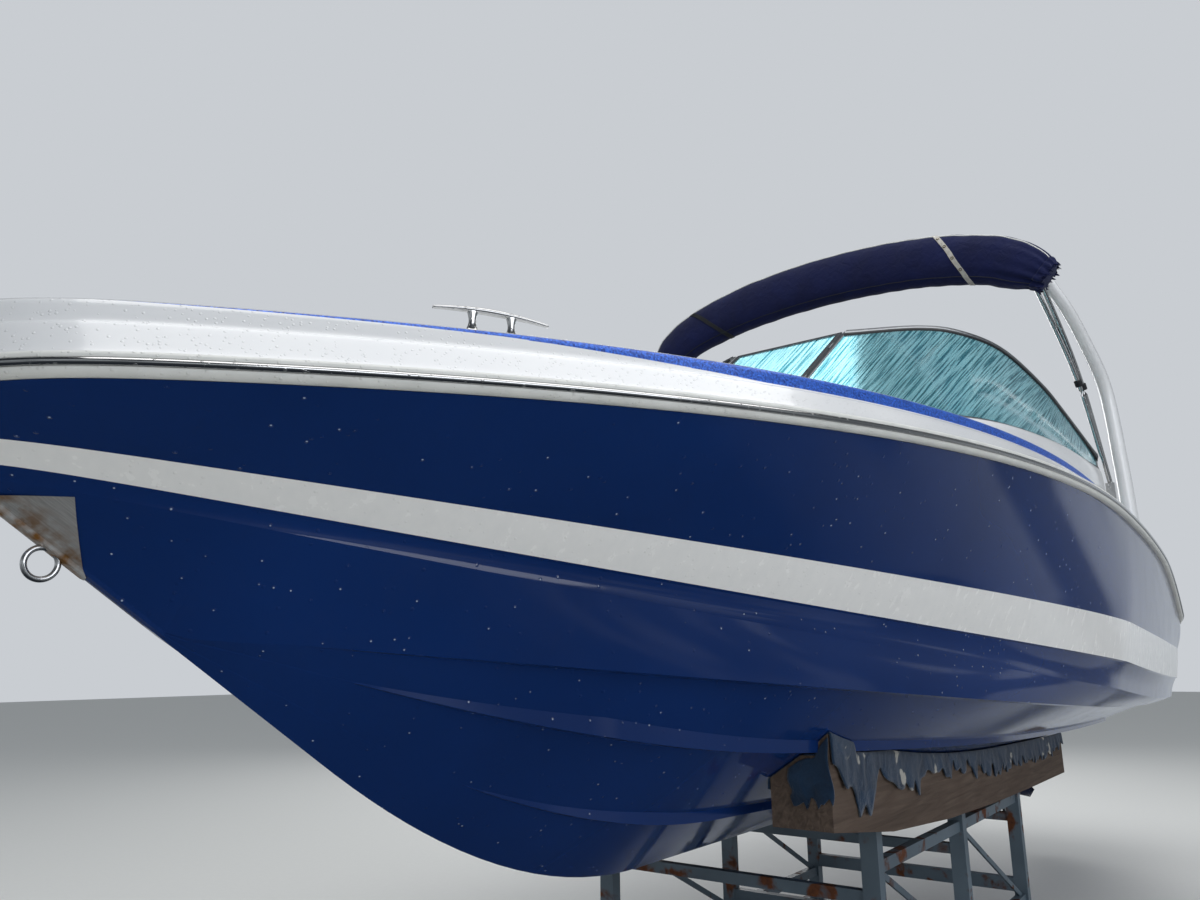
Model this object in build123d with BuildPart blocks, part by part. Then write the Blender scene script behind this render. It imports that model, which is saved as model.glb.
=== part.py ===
"""Seven metre bowrider speedboat with a sterndrive, standing on its timber cradle."""
from build123d import *
from math import cos, hypot, radians, sin, sqrt
import os

os.makedirs("parts", exist_ok=True)

# Axes: X forward, Y to port, Z up. Stations are measured forward from the stern, heights above
# the keel. MID is the station that stands over the origin and KEEL the keel's height above the floor.
LENGTH = 6945
HALF_BEAM = 1270
KEEL = 650
MID = 3478

# Plan and profile of the moulded hull
WIDEST = 3020
AFT_TAPER = 0.064
BOW_POWER = 0.948
NOSE = 500
STERN_CORNER = 350
STEM_HALF = 12
STEM_FOOT = LENGTH - 2095
STEM_CURVE = 0.283e-3
STEM_SLOPE = 0.68
SHEER_SWEEP = (1600, 293)

# Long edges of the hull: inset from the beam, where the plan curve would close and where it meets
# the stem (both from the bow tip), fullness, then height at the stern with its slope and curvature
EDGES = {
    "rail": (0, 355, 0, 2.431, (1033, 636, -643)),
    "band_top": (37, 150, -48, 1.532, (682, 117, 189)),
    "band_foot": (66, 62, -98, 1.385, (499, 94, 372)),
    "spray_strip": (114, -9, -130, 1.464, (383, 48, 521)),
    "chine": (194, -421, -498, 1.932, (357, 16, 358)),
}
# Lifting strakes: share of the bottom's width, width of the ledge, station where it fades out
STRAKES = ((0.30, 42, 5750), (0.68, 50, 6150))
CHINE_FLAT = 48
BAND_STEP = 9
STATIONS = (700, 1600, 2300, WIDEST, 3700, 4300, 4950, 5450, 5850, 6150, 6400, 6600, 6760, 6870, 6935)
STERN_STATIONS = (0, 24, 100, 210, 350, 700)

# Deck moulding: inset from the rail and height above it, from the outside in
DECK_EDGE = ((6, 0), (6, 42), (24, 50), (58, 104), (76, 110), (104, 146), (176, 166))
DECK_CAMBER = 24
RAIL_TALL, RAIL_PROUD = 40, 24
INSERT_TALL, INSERT_PROUD = 14, 7

# Cockpit: aft end, forward end, half widths, sole height and thickness of the inner moulding
COCKPIT_AFT, COCKPIT_FORE, COCKPIT_HALF, COCKPIT_FORE_HALF = 1830, 3950, 960, 860
WALKWAY_HALF, SOLE, LINER = 290, 460, 22
BOW_WELL_AFT, BOW_WELL_FORE, BOW_SEAT, BOW_SOLE = 4700, 6000, 860, 560
PLATFORM_LENGTH, PLATFORM_HALF, PLATFORM_TOP, PLATFORM_THICK = 760, 850, 740, 20
TUNNEL_HALF, TUNNEL_TOP, TRANSOM = 620, 620, 700
BAY_AFT, BAY_FORE, BAY_HALF, BAY_FLOOR = 800, 1740, 560, 250

# Gap left between pieces that move past or rest on each other
SEAT_GAP = 0.3
RUN_GAP = 6

# Flats round a ring's bar and round an oval moulding, and bays between two rows of such a moulding
ROD_FLATS = 10
OVAL_FLATS = 16
OVAL_BAYS = 3


def stem(x):
    """Height of the keel line at a station: flat, then a parabola, then a straight stem."""
    run = x - STEM_FOOT
    bend = STEM_SLOPE / (2 * STEM_CURVE)
    if run <= 0:
        return 0
    if run < bend:
        return STEM_CURVE * run**2
    return STEM_CURVE * bend**2 + STEM_SLOPE * (run - bend)


def half(name, x):
    """Half breadth of one long edge at a station."""
    inset, beyond, tip, power, _ = EDGES[name]
    fore = min(1, max(0, (x - WIDEST) / (LENGTH + beyond - WIDEST)))
    aft = max(0, (WIDEST - x) / WIDEST)
    breadth = (HALF_BEAM - inset) * (1 - fore**power) ** BOW_POWER * (1 - AFT_TAPER * aft**2)
    rounding = min(1, max(0, (x - LENGTH - tip + NOSE) / NOSE))
    breadth *= sqrt(1 - rounding**8)
    if x < STERN_CORNER:
        breadth -= STERN_CORNER - sqrt(STERN_CORNER**2 - (STERN_CORNER - x) ** 2)
    return breadth


def height(name, x):
    """Height of one long edge above the keel at a station."""
    start, slope, curve = EDGES[name][4]
    share = x / LENGTH
    level = start + slope * share + curve * share**2
    if name == "rail":
        reach, drop = SHEER_SWEEP
        level -= drop * max(0, 1 - x / reach) ** 2
    return level


def deck_height(x, inboard):
    """Height of the deck moulding at a station, this far inboard of the rail."""
    rise = DECK_EDGE[-1][1]
    for (near, low), (far, high) in zip(DECK_EDGE[1:], DECK_EDGE[2:]):
        if near <= inboard < far:
            rise = low + (high - low) * (inboard - near) / (far - near)
    return height("rail", x) + rise


def rising(points):
    """Keeps the points of a half section in order where they crowd together at the stem."""
    kept = [points[0]]
    for y, z in points[1:]:
        kept.append((max(y, STEM_HALF + 0.5 * len(kept)), max(z, kept[-1][1] + 1.2)))
    return kept


def bottom_points(x):
    """Half section from the keel to the chine, with the two lifting strakes and the chine flat."""
    keel, breadth, level = stem(x), max(half("chine", x), STEM_HALF), height("chine", x)
    level = max(level, keel + 8)
    slope = (level - keel) / breadth
    points = [(0, keel)]
    for share, width, end in STRAKES:
        ledge = min(width * min(1, max(0, (end - x) / 600)) + 1, 0.12 * breadth)
        inner = share * breadth
        points += [(inner, keel + slope * inner), (inner + ledge, keel + slope * inner + 0.5)]
        points += [(inner + ledge + 1, keel + slope * (inner + ledge + 1))]
    flat = min(CHINE_FLAT * min(1, max(0, (6300 - x) / 900)) + 1, 0.12 * breadth)
    return points + [(breadth - flat, level - 2), (breadth, level)]


def side_points(x):
    """Half section above the chine: spray strip, step under the band, band and topside."""
    foot, band = half("band_foot", x), height("band_foot", x)
    return [
        (half("spray_strip", x), height("spray_strip", x)),
        (foot - BAND_STEP, band - 5),
        (foot, band),
        (half("band_top", x), height("band_top", x)),
        (half("rail", x), height("rail", x)),
    ]


def station_plane(x):
    return Plane.YZ.offset(x - MID)


def cross_section(x, side):
    """Adds a closed outline, mirrored about the centreline, on the plane of a station."""
    port = [(y, z + KEEL) for y, z in side]
    starboard = [(-y, z) for y, z in reversed(port) if y > 0]
    with BuildSketch(station_plane(x)) as section:
        with BuildLine():
            Polyline(*port, *starboard, close=True)
        make_face()
    add(section.sketch)


def outline(points):
    """Adds a flat outline through points in space, given as station, Y and height."""
    corners = [Vector(x - MID, y, z + KEEL) for x, y, z in points]
    along, across = corners[1] - corners[0], corners[-1] - corners[0]
    plane = Plane(origin=corners[0], x_dir=along, z_dir=along.cross(across))
    with BuildSketch(plane) as section:
        with BuildLine():
            Polyline(*[plane.to_local_coords(corner) for corner in corners], close=True)
        make_face()
    add(section.sketch)


def block(x, y, z, mode=Mode.ADD):
    """A box between two stations, two Y values and two heights."""
    with BuildSketch(Plane.XY.offset(z[0] + KEEL)) as base:
        with Locations(((x[0] + x[1]) / 2 - MID, (y[0] + y[1]) / 2)):
            Rectangle(x[1] - x[0], y[1] - y[0])
    extrude(base.sketch, amount=z[1] - z[0], mode=mode)


def plan_prism(points, z, mode=Mode.ADD):
    """A plan outline of station and Y, extruded between two heights."""
    with BuildSketch(Plane.XY.offset(z[0] + KEEL)) as base:
        with BuildLine():
            Polyline(*[(x - MID, y) for x, y in points], close=True)
        make_face()
    extrude(base.sketch, amount=z[1] - z[0], mode=mode)


def side_prism(points, y, mode=Mode.ADD):
    """A side outline of station and height, extruded between two Y values."""
    with BuildSketch(Plane.XZ.offset(-y[0])) as side:
        with BuildLine():
            Polyline(*[(x - MID, z + KEEL) for x, z in points], close=True)
        make_face()
    extrude(side.sketch, amount=y[0] - y[1], mode=mode)


def tube(points, radius, mode=Mode.ADD):
    """A round tube, straight between two points or bent through three: station, Y and height."""
    ends = [(x - MID, y, z + KEEL) for x, y, z in points]
    with BuildLine() as path:
        if len(ends) == 2:
            Line(*ends)
        else:
            ThreePointArc(*ends)
    with BuildSketch(Plane(origin=path.line @ 0, z_dir=path.line % 0)) as ring:
        Circle(radius)
    sweep(ring.sketch, path=path.line, mode=mode)


def ring(plane, radius, rod):
    """A ring of round bar about the normal of a plane, its bar drawn with a few flats."""
    with BuildSketch(Plane(origin=plane.origin, x_dir=plane.x_dir, z_dir=plane.y_dir)) as section:
        with Locations((radius, 0)):
            RegularPolygon(rod, ROD_FLATS)
    revolve(section.sketch, axis=Axis(plane.origin, plane.z_dir))


def mirrored(points):
    """Port half of a plan outline, given from aft forward, closed with its starboard half."""
    return list(points) + [(x, -y) for x, y in reversed(points)]


def finish(part, name):
    """Labels a finished piece and writes it."""
    part.part.label = name
    export_step(part.part, f"parts/{name}.step")


# Wells that open the deck and hull: plan outline to the outside of the inner moulding, floor level
WELLS = (
    (((COCKPIT_AFT, COCKPIT_HALF), (3300, COCKPIT_HALF), (COCKPIT_FORE, COCKPIT_FORE_HALF)), SOLE),
    (((COCKPIT_FORE - 60, WALKWAY_HALF), (BOW_WELL_AFT + 60, WALKWAY_HALF)), SOLE),
    (((BOW_WELL_AFT, WALKWAY_HALF), (5300, WALKWAY_HALF), (5700, 200)), BOW_SOLE),
    (((BOW_WELL_AFT, 800), (5300, 600), (BOW_WELL_FORE, 300)), BOW_SEAT),
)


def grown(points, amount):
    """Moves the port half of an outline outward, or inward where the amount is negative."""
    first, last = points[0], points[-1]
    middle = [(x, y + amount) for x, y in points[1:-1]]
    return [(first[0] - amount, first[1] + amount), *middle, (last[0] + amount, last[1] + amount)]


def wells(amount, floor, mode=Mode.SUBTRACT):
    """All wells, grown by an amount in plan and with their floors moved by another."""
    for points, level in WELLS:
        plan_prism(mirrored(grown(points, amount)), (level + floor, 1800), mode)


def hull_section(x):
    cross_section(x, rising(bottom_points(x) + side_points(x)))


def wing_section(x):
    edge = side_points(x)
    cross_section(x, [(0, edge[0][1]), *edge])


def deck_section(x):
    rail, level = half("rail", x), height("rail", x)
    squeeze = min(1, rail / 260)
    edge = [(max(rail - inset * squeeze, 6), level + rise) for inset, rise in DECK_EDGE]
    cross_section(x, [*edge, (0, level + DECK_EDGE[-1][1] + DECK_CAMBER * squeeze)])


def bays(stations, section):
    """Lofts a moulding bay by bay, from each station to the next one forward."""
    for aft, fore in zip(stations, stations[1:]):
        section(aft)
        section(fore)
        loft(ruled=True)


def stern_openings():
    """Cuts the swim platform's recess and the engine bay."""
    block((-10, PLATFORM_LENGTH), (-PLATFORM_HALF, PLATFORM_HALF), (PLATFORM_TOP, 1800), Mode.SUBTRACT)
    block((BAY_AFT, BAY_FORE), (-BAY_HALF, BAY_HALF), (BAY_FLOOR, 1800), Mode.SUBTRACT)


# Moulded hull: bottom and topsides bay by bay, with the platform's wings aft of the transom
with BuildPart() as envelope:
    bays(STATIONS, hull_section)
    bays(STERN_STATIONS, wing_section)
    block((-10, TRANSOM), (-TUNNEL_HALF, TUNNEL_HALF), (0, TUNNEL_TOP), Mode.SUBTRACT)

with BuildPart() as hull:
    add(envelope.part)
    stern_openings()
    wells(0, -LINER)
finish(hull, "hull")

# Deck moulding: follows the rail with a stepped edge, then runs inboard to the wells
with BuildPart() as deck_blank:
    bays((*STERN_STATIONS[:-1], *STATIONS), deck_section)

moulded = envelope.part + deck_blank.part

with BuildPart() as deck:
    add(deck_blank.part)
    stern_openings()
    wells(0, -LINER)
finish(deck, "deck")

# Inner moulding: one tub through the cockpit, the walkway and the bow, cut level with the deck
with BuildPart() as liner:
    wells(0, -LINER, Mode.ADD)
    wells(-LINER, 0)
    add(moulded, mode=Mode.INTERSECT)
finish(liner, "cockpit_liner")


def course(name, stations, lift=0):
    """Corners of one long edge from aft forward, closed on the centreline at the bow."""
    run = [(x, half(name, x), height(name, x) + lift) for x in stations]
    return [*run, (run[-1][0], 0, run[-1][2])]


def outward(run):
    """Mitred outward direction in plan at each corner of a course, as pairs of X and Y."""
    turns = []
    for i, (x, y, _) in enumerate(run):
        before, after = run[max(i - 1, 0)], run[min(i + 1, len(run) - 1)]
        sides = []
        for (x0, y0, _), (x1, y1, _) in ((before, run[i]), (run[i], after)):
            span = hypot(x1 - x0, y1 - y0)
            if span > 0:
                sides.append((-(y1 - y0) / span, (x1 - x0) / span))
        nx, ny = sum(s[0] for s in sides), sum(s[1] for s in sides)
        if i == len(run) - 1 and y == 0:
            nx, ny = 1, 0
        long = hypot(nx, ny)
        nx, ny = nx / long, ny / long
        stretch = 1 / (nx * sides[0][0] + ny * sides[0][1])
        turns.append((nx * stretch, ny * stretch))
    return turns


def moulding(run, profile):
    """Lofts a profile of (outward, up) along a course, port side, then mirrors it."""
    for (a, na), (b, nb) in zip(zip(run, outward(run)), zip(run[1:], outward(run)[1:])):
        for (x, y, z), (nx, ny) in ((a, na), (b, nb)):
            outline([(x + nx * out, y + ny * out, z + up) for out, up in profile])
        loft(ruled=True)
    mirror(about=Plane.XZ)


# Rub rail: vinyl section seated on the hull's top edge, with a stainless half round let into it
RAIL_RUN = course("rail", (*STERN_STATIONS[:-1], *STATIONS))
with BuildPart() as rub_rail:
    moulding(
        RAIL_RUN,
        (
            (0, SEAT_GAP),
            (RAIL_PROUD - 7, SEAT_GAP),
            (RAIL_PROUD, 7),
            (RAIL_PROUD, RAIL_TALL - 8),
            (RAIL_PROUD - 8, RAIL_TALL),
            (0, RAIL_TALL),
        ),
    )
finish(rub_rail, "rub_rail")

INSERT_LOW = (RAIL_TALL - INSERT_TALL) / 2
with BuildPart() as rail_insert:
    moulding(
        RAIL_RUN,
        (
            (RAIL_PROUD + SEAT_GAP, INSERT_LOW),
            (RAIL_PROUD + INSERT_PROUD, INSERT_LOW + 4),
            (RAIL_PROUD + INSERT_PROUD, INSERT_LOW + INSERT_TALL - 4),
            (RAIL_PROUD + SEAT_GAP, INSERT_LOW + INSERT_TALL),
        ),
    )
finish(rail_insert, "rail_insert")

# Stem fittings: a bright scuff plate folded over the stem and the towing eye through it
SCUFF_SKIN, SCUFF_HIGH, SCUFF_LOW_AFT, SCUFF_TOP_AFT = 4, 905, LENGTH - 350, LENGTH - 265
with BuildPart() as scuff_plate:
    side_prism(
        (
            (SCUFF_LOW_AFT, stem(SCUFF_LOW_AFT) - 10),
            (SCUFF_LOW_AFT + 220, stem(SCUFF_LOW_AFT + 220) - 40),
            (SCUFF_LOW_AFT + 220, SCUFF_HIGH),
            (SCUFF_TOP_AFT, SCUFF_HIGH),
        ),
        (-200, 200),
    )
    add(Pos(SCUFF_SKIN, 0, -0.75 * SCUFF_SKIN) * envelope.part, mode=Mode.INTERSECT)
    add(envelope.part, mode=Mode.SUBTRACT)
finish(scuff_plate, "scuff_plate")

EYE_RING, EYE_ROD, EYE_STATION, EYE_DROP = 28, 5.5, LENGTH - 270, 32
with BuildPart() as bow_eye:
    eye = (EYE_STATION - MID, 0, stem(EYE_STATION) - EYE_DROP + KEEL)
    ring(Plane(origin=eye, x_dir=(1, 0, 0), z_dir=(0, -1, 0)), EYE_RING, EYE_ROD)
    add(envelope.part + scuff_plate.part, mode=Mode.SUBTRACT)
finish(bow_eye, "bow_eye")

# Mooring cleats: two horns on a pair of legs with an arch between them, let down to the deck
CLEAT_LONG, CLEAT_TALL, CLEAT_THICK, CLEAT_ARCH = 236, 52, 18, 28


def cleat(x, y, turn):
    """One cleat at a station and Y, turned in plan, its feet trimmed to the deck."""
    level = deck_height(x, half("rail", x) - abs(y))
    along = (cos(radians(turn)), sin(radians(turn)), 0)
    plane = Plane(origin=(x - MID, y, level + KEEL), x_dir=along, z_dir=(along[1], -along[0], 0))
    tip, foot = CLEAT_LONG / 2, CLEAT_ARCH + 24
    with BuildSketch(plane) as side:
        with BuildLine():
            ThreePointArc((-tip, CLEAT_TALL - 8), (0, CLEAT_TALL + 4), (tip, CLEAT_TALL - 8))
            Line((tip, CLEAT_TALL - 8), (tip, CLEAT_TALL - 15))
            Line((tip, CLEAT_TALL - 15), (foot + 8, CLEAT_TALL - 20))
            Line((foot + 8, CLEAT_TALL - 20), (foot, -16))
            Line((foot, -16), (CLEAT_ARCH, -16))
            ThreePointArc((CLEAT_ARCH, -16), (0, CLEAT_ARCH), (-CLEAT_ARCH, -16))
            Line((-CLEAT_ARCH, -16), (-foot, -16))
            Line((-foot, -16), (-foot - 8, CLEAT_TALL - 20))
            Line((-foot - 8, CLEAT_TALL - 20), (-tip, CLEAT_TALL - 15))
            Line((-tip, CLEAT_TALL - 15), (-tip, CLEAT_TALL - 8))
        make_face()
    extrude(side.sketch, amount=CLEAT_THICK / 2, both=True)


# Cleats: node, station, distance inboard of the rail, turn of the port one
CLEATS = (("bow_cleats", LENGTH - 780, 106, -26), ("stern_cleats", 1180, 150, 6))
for node, station, inboard, turn in CLEATS:
    with BuildPart() as pair:
        cleat(station, half("rail", station) - inboard, turn)
        cleat(station, inboard - half("rail", station), -turn)
        add(deck_blank.part, mode=Mode.SUBTRACT)
    finish(pair, node)

# Swim platform: non-slip panel lying in the stern recess
PLATFORM_EDGE = 20
with BuildPart() as swim_platform:
    block(
        (SEAT_GAP, PLATFORM_LENGTH - SEAT_GAP),
        (PLATFORM_EDGE - PLATFORM_HALF, PLATFORM_HALF - PLATFORM_EDGE),
        (PLATFORM_TOP + SEAT_GAP, PLATFORM_TOP + PLATFORM_THICK),
    )
finish(swim_platform, "swim_platform")

# Windshield: corners of its port half from the walkway aft. Columns: station, Y and height at the
# foot of the glass, then the same at its head
SHIELD = (
    (4430, 300, 1430, 3490, 300, 2110),
    (4420, 560, 1432, 3320, 575, 2120),
    (4370, 760, 1438, 3190, 728, 2100),
    (4200, 920, 1448, 2980, 853, 2050),
    (3850, 1020, 1470, 2700, 953, 1930),
    (3250, 1088, 1500, 2560, 1020, 1800),
    (2450, 1118, 1530, 2400, 1112, 1600),
)
GLASS, FRAME_THICK, FRAME_FOOT, FRAME_HEAD = 6, 22, 20, 24


def shield_posts():
    """Foot, head, outward plan direction and upward direction at each corner of the port half."""
    feet = [Vector(*row[:3]) for row in SHIELD]
    turns = outward([(foot.X, foot.Y, foot.Z) for foot in reversed(feet)])[::-1]
    posts = []
    for foot, row, (nx, ny) in zip(feet, SHIELD, turns):
        head = Vector(*row[3:])
        posts.append((foot, head, Vector(nx, ny, 0), (head - foot).normalized()))
    return posts


def glazing(thick, low, high):
    """Lofts one strip of the port windshield; low and high each say (from the head, along)."""
    posts = shield_posts()
    for pair in zip(posts, posts[1:]):
        for foot, head, out, up in pair:
            bottom = (head if low[0] else foot) + up * low[1]
            top = (head if high[0] else foot) + up * high[1]
            corners = (
                bottom - out * thick / 2,
                bottom + out * thick / 2,
                top + out * thick / 2,
                top - out * thick / 2,
            )
            outline([(c.X, c.Y, c.Z) for c in corners])
        loft(ruled=True)


def end_post(index, wide):
    """Upright at one end of the port windshield, lofted across by a width in Y."""
    foot, head, out, up = shield_posts()[index]
    for shift in (0, wide):
        bottom, top = foot - up * FRAME_FOOT, head + up * FRAME_HEAD
        side = Vector(0, shift, 0)
        ends = (bottom - out * FRAME_THICK / 2, bottom + out * FRAME_THICK / 2)
        heads = (top + out * FRAME_THICK / 2, top - out * FRAME_THICK / 2)
        outline([((c + side).X, (c + side).Y, (c + side).Z) for c in (*ends, *heads)])
    loft(ruled=True)


with BuildPart() as windshield_frame:
    glazing(FRAME_THICK, (False, -FRAME_FOOT), (False, -SEAT_GAP))
    glazing(FRAME_THICK, (True, SEAT_GAP), (True, FRAME_HEAD))
    end_post(0, -18)
    mirror(about=Plane.XZ)
finish(windshield_frame, "windshield_frame")

with BuildPart() as windshield_glass:
    glazing(GLASS, (False, 0), (True, 0))
    mirror(about=Plane.XZ)
finish(windshield_glass, "windshield_glass")

# Coaming: the white rise of the deck under the windshield
COAMING_THICK = 46
with BuildPart() as coaming:
    posts = shield_posts()
    for pair in zip(posts, posts[1:]):
        for foot, _, out, up in pair:
            top = foot - up * (FRAME_FOOT + SEAT_GAP)
            level = height("rail", foot.X) + 100
            inner, outer = top - out * COAMING_THICK / 2, top + out * COAMING_THICK / 2
            spread = top + out * (COAMING_THICK / 2 + 30)
            corners = ((inner, level), (spread, level), (outer, top.Z), (inner, top.Z))
            outline([(c.X, c.Y, z) for c, z in corners])
        loft(ruled=True)
    mirror(about=Plane.XZ)
    add(deck_blank.part, mode=Mode.SUBTRACT)
finish(coaming, "windshield_coaming")

# Centre gate of the windshield: framed pane hinged along its port edge
GATE_GAP = 8
GATE_HALF = SHIELD[0][1] - 18 - GATE_GAP
GATE_HINGES, GATE_KNUCKLE_LONG, GATE_LEAF, GATE_THICK = (0.15, 0.5, 0.85), 70, 1.5, 13


def gate_outline(half_width, low, high, thick):
    """Flat slab of the gate's plane, this wide and this far past the foot and head of the glass."""
    foot, head, _, up = shield_posts()[0]
    middle = Vector(foot.X, 0, foot.Z)
    plane = Plane(
        origin=(middle.X - MID, 0, middle.Z + KEEL), x_dir=(0, 1, 0), z_dir=Vector(0, 1, 0).cross(up)
    )
    tall = (head - foot).length
    with BuildSketch(plane) as slab:
        with Locations((0, (low + tall + high) / 2)):
            Rectangle(2 * half_width, tall + high - low)
    extrude(slab.sketch, amount=thick / 2, both=True)


with BuildPart() as gate_pane:
    gate_outline(GATE_HALF - 22, 0, 0, GLASS)
finish(gate_pane, "gate_glass")

with BuildPart() as gate_hole:
    gate_outline(GATE_HALF - 22 + SEAT_GAP, -SEAT_GAP, SEAT_GAP, 2 * FRAME_THICK)
with BuildPart() as gate_frame:
    gate_outline(GATE_HALF, -FRAME_FOOT, FRAME_HEAD, GATE_THICK)
    add(gate_hole.part, mode=Mode.SUBTRACT)
    foot, head, _, up = shield_posts()[0]
    normal = Vector(up.Z, 0, -up.X)
    for share in GATE_HINGES:
        middle = foot + (head - foot) * share + normal * (GATE_THICK / 2)
        pivot = Vector(middle.X - MID, GATE_HALF + GATE_GAP / 2, middle.Z + KEEL)
        with BuildSketch(Plane(origin=pivot - up * GATE_KNUCKLE_LONG / 2, x_dir=(0, 1, 0), z_dir=up)):
            Circle(GATE_GAP / 2 - SEAT_GAP)
            with Locations((-8, -0.75)):
                Rectangle(14, GATE_LEAF)
        extrude(amount=GATE_KNUCKLE_LONG)
finish(gate_frame, "gate_frame")

# Consoles either side of the walkway: moulded boxes under the dash, standing on the sole
CONSOLE_IN, CONSOLE_OUT, CONSOLE_FOOT = 320, 828, 3640
CONSOLE_SIDE = (
    (COCKPIT_FORE - LINER - SEAT_GAP, SOLE + SEAT_GAP),
    (CONSOLE_FOOT, SOLE + SEAT_GAP),
    (3610, 900),
    (3560, 960),
    (3600, 1200),
    (3720, 1300),
    (COCKPIT_FORE - LINER - SEAT_GAP, 1320),
)
for node, side in (("port_console", 1), ("helm_console", -1)):
    with BuildPart() as console:
        span = sorted((side * CONSOLE_IN, side * CONSOLE_OUT))
        side_prism(CONSOLE_SIDE, span)
        knee = sorted((side * (CONSOLE_IN + 60), side * (CONSOLE_OUT - 60)))
        block((CONSOLE_FOOT - 60, 3860), knee, (SOLE + 90, 850), Mode.SUBTRACT)
    finish(console, node)

# Helm: wheel on a raked hub, with its stub column standing out of the dash
WHEEL_STATION, WHEEL_Y, WHEEL_LEVEL, WHEEL_RADIUS, WHEEL_ROD, WHEEL_RAKE = 3500, -574, 1110, 180, 14, 17
wheel_axis = Vector(-cos(radians(WHEEL_RAKE)), 0, sin(radians(WHEEL_RAKE)))
wheel_plane = Plane(
    origin=(WHEEL_STATION - MID, WHEEL_Y, WHEEL_LEVEL + KEEL), x_dir=(0, 1, 0), z_dir=wheel_axis
)
COLUMN_LONG = 130
with BuildPart() as column:
    with BuildSketch(wheel_plane.offset(-COLUMN_LONG)):
        Circle(34)
    extrude(amount=COLUMN_LONG - 22)
    with BuildSketch(wheel_plane.offset(-22)):
        Circle(11)
    extrude(amount=20)
    add(console.part, mode=Mode.SUBTRACT)
finish(column, "steering_column")

with BuildPart() as wheel:
    with BuildSketch(wheel_plane.offset(-20)):
        Circle(36)
        Circle(11 + SEAT_GAP, mode=Mode.SUBTRACT)
    extrude(amount=24)
    with BuildSketch(wheel_plane.offset(4)):
        Circle(36)
    extrude(amount=10)
    with BuildSketch(wheel_plane.offset(-4)):
        for turn in (90, 210, 330):
            with Locations(Rot(0, 0, turn) * Pos(WHEEL_RADIUS / 2, 0)):
                Rectangle(WHEEL_RADIUS - 8, 30)
        Circle(34, mode=Mode.SUBTRACT)
    extrude(amount=8)
    ring(wheel_plane, WHEEL_RADIUS, WHEEL_ROD)
finish(wheel, "steering_wheel")

# Throttle: control box on the cockpit side beside the helm, with its lever
THROTTLE_STATION, THROTTLE_LEVEL = 3220, 1080
with BuildPart() as throttle:
    inner = LINER - COCKPIT_HALF + SEAT_GAP
    block(
        (THROTTLE_STATION - 60, THROTTLE_STATION + 60),
        (inner, inner + 46),
        (THROTTLE_LEVEL - 70, THROTTLE_LEVEL + 70),
    )
    with BuildSketch(Plane.XZ.offset(-inner - 46)):
        with Locations((THROTTLE_STATION - MID, THROTTLE_LEVEL + KEEL)):
            Circle(24)
    extrude(amount=-14)
    side_prism(
        (
            (THROTTLE_STATION - 9, THROTTLE_LEVEL),
            (THROTTLE_STATION + 9, THROTTLE_LEVEL),
            (THROTTLE_STATION + 24, THROTTLE_LEVEL + 150),
            (THROTTLE_STATION + 4, THROTTLE_LEVEL + 150),
        ),
        (inner + 50, inner + 60),
    )
finish(throttle, "throttle_control")

# Bucket seats on pedestals: a wrapped shell that swivels on a fixed post
SEAT_STATION, SEAT_Y, SEAT_LEVEL, SEAT_HALF, POST_RADIUS, FLANGE = 2880, 566, 820, 250, 36, 14
with BuildPart() as pedestals:
    for side in (1, -1):
        with BuildSketch(Plane.XY.offset(SOLE + SEAT_GAP + KEEL)):
            with Locations((SEAT_STATION - MID, side * SEAT_Y)):
                Circle(150)
        extrude(amount=FLANGE)
        with BuildSketch(Plane.XY.offset(SOLE + FLANGE + KEEL)):
            with Locations((SEAT_STATION - MID, side * SEAT_Y)):
                Circle(POST_RADIUS)
        extrude(amount=SEAT_LEVEL - SOLE - FLANGE - SEAT_GAP)
finish(pedestals, "seat_pedestals")

SEAT_OUTLINE = ((-250, 0), (230, 0), (250, 90), (-130, 100), (-165, 140), (-235, 560), (-262, 560))
SEAT_WING = ((-240, 0), (180, 0), (170, 150), (-120, 230), (-190, 520), (-240, 520))


def seat_profile(points, y, half_width):
    """A side outline about the seat's post, extruded both ways from a Y value."""
    side_prism([(SEAT_STATION + x, SEAT_LEVEL + z) for x, z in points], (y - half_width, y + half_width))


for node, side in (("passenger_seat", 1), ("helm_seat", -1)):
    with BuildPart() as seat:
        seat_profile(SEAT_OUTLINE, side * SEAT_Y, SEAT_HALF - 40)
        for edge in (-1, 1):
            seat_profile(SEAT_WING, side * SEAT_Y + edge * (SEAT_HALF - 20), 20)
    finish(seat, node)

# Aft bench: moulded base across the cockpit, seat and back cushions
BENCH_AFT, BENCH_FRONT, BENCH_HALF, BENCH_LEVEL = COCKPIT_AFT + LINER, 2400, 930, 800
with BuildPart() as bench:
    block(
        (BENCH_AFT + SEAT_GAP, BENCH_FRONT - 40),
        (-BENCH_HALF, BENCH_HALF),
        (SOLE + SEAT_GAP, BENCH_LEVEL),
    )
finish(bench, "bench_base")
with BuildPart() as bench_cushions:
    block(
        (BENCH_AFT + 130, BENCH_FRONT),
        (4 - BENCH_HALF, BENCH_HALF - 4),
        (BENCH_LEVEL + SEAT_GAP, BENCH_LEVEL + 120),
    )
    side_prism(
        (
            (BENCH_AFT + 2, BENCH_LEVEL + SEAT_GAP),
            (BENCH_AFT + 124, BENCH_LEVEL + SEAT_GAP),
            (BENCH_AFT + 96, 1260),
            (BENCH_AFT + 2, 1260),
        ),
        (4 - BENCH_HALF, BENCH_HALF - 4),
    )
finish(bench_cushions, "bench_cushions")

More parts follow.
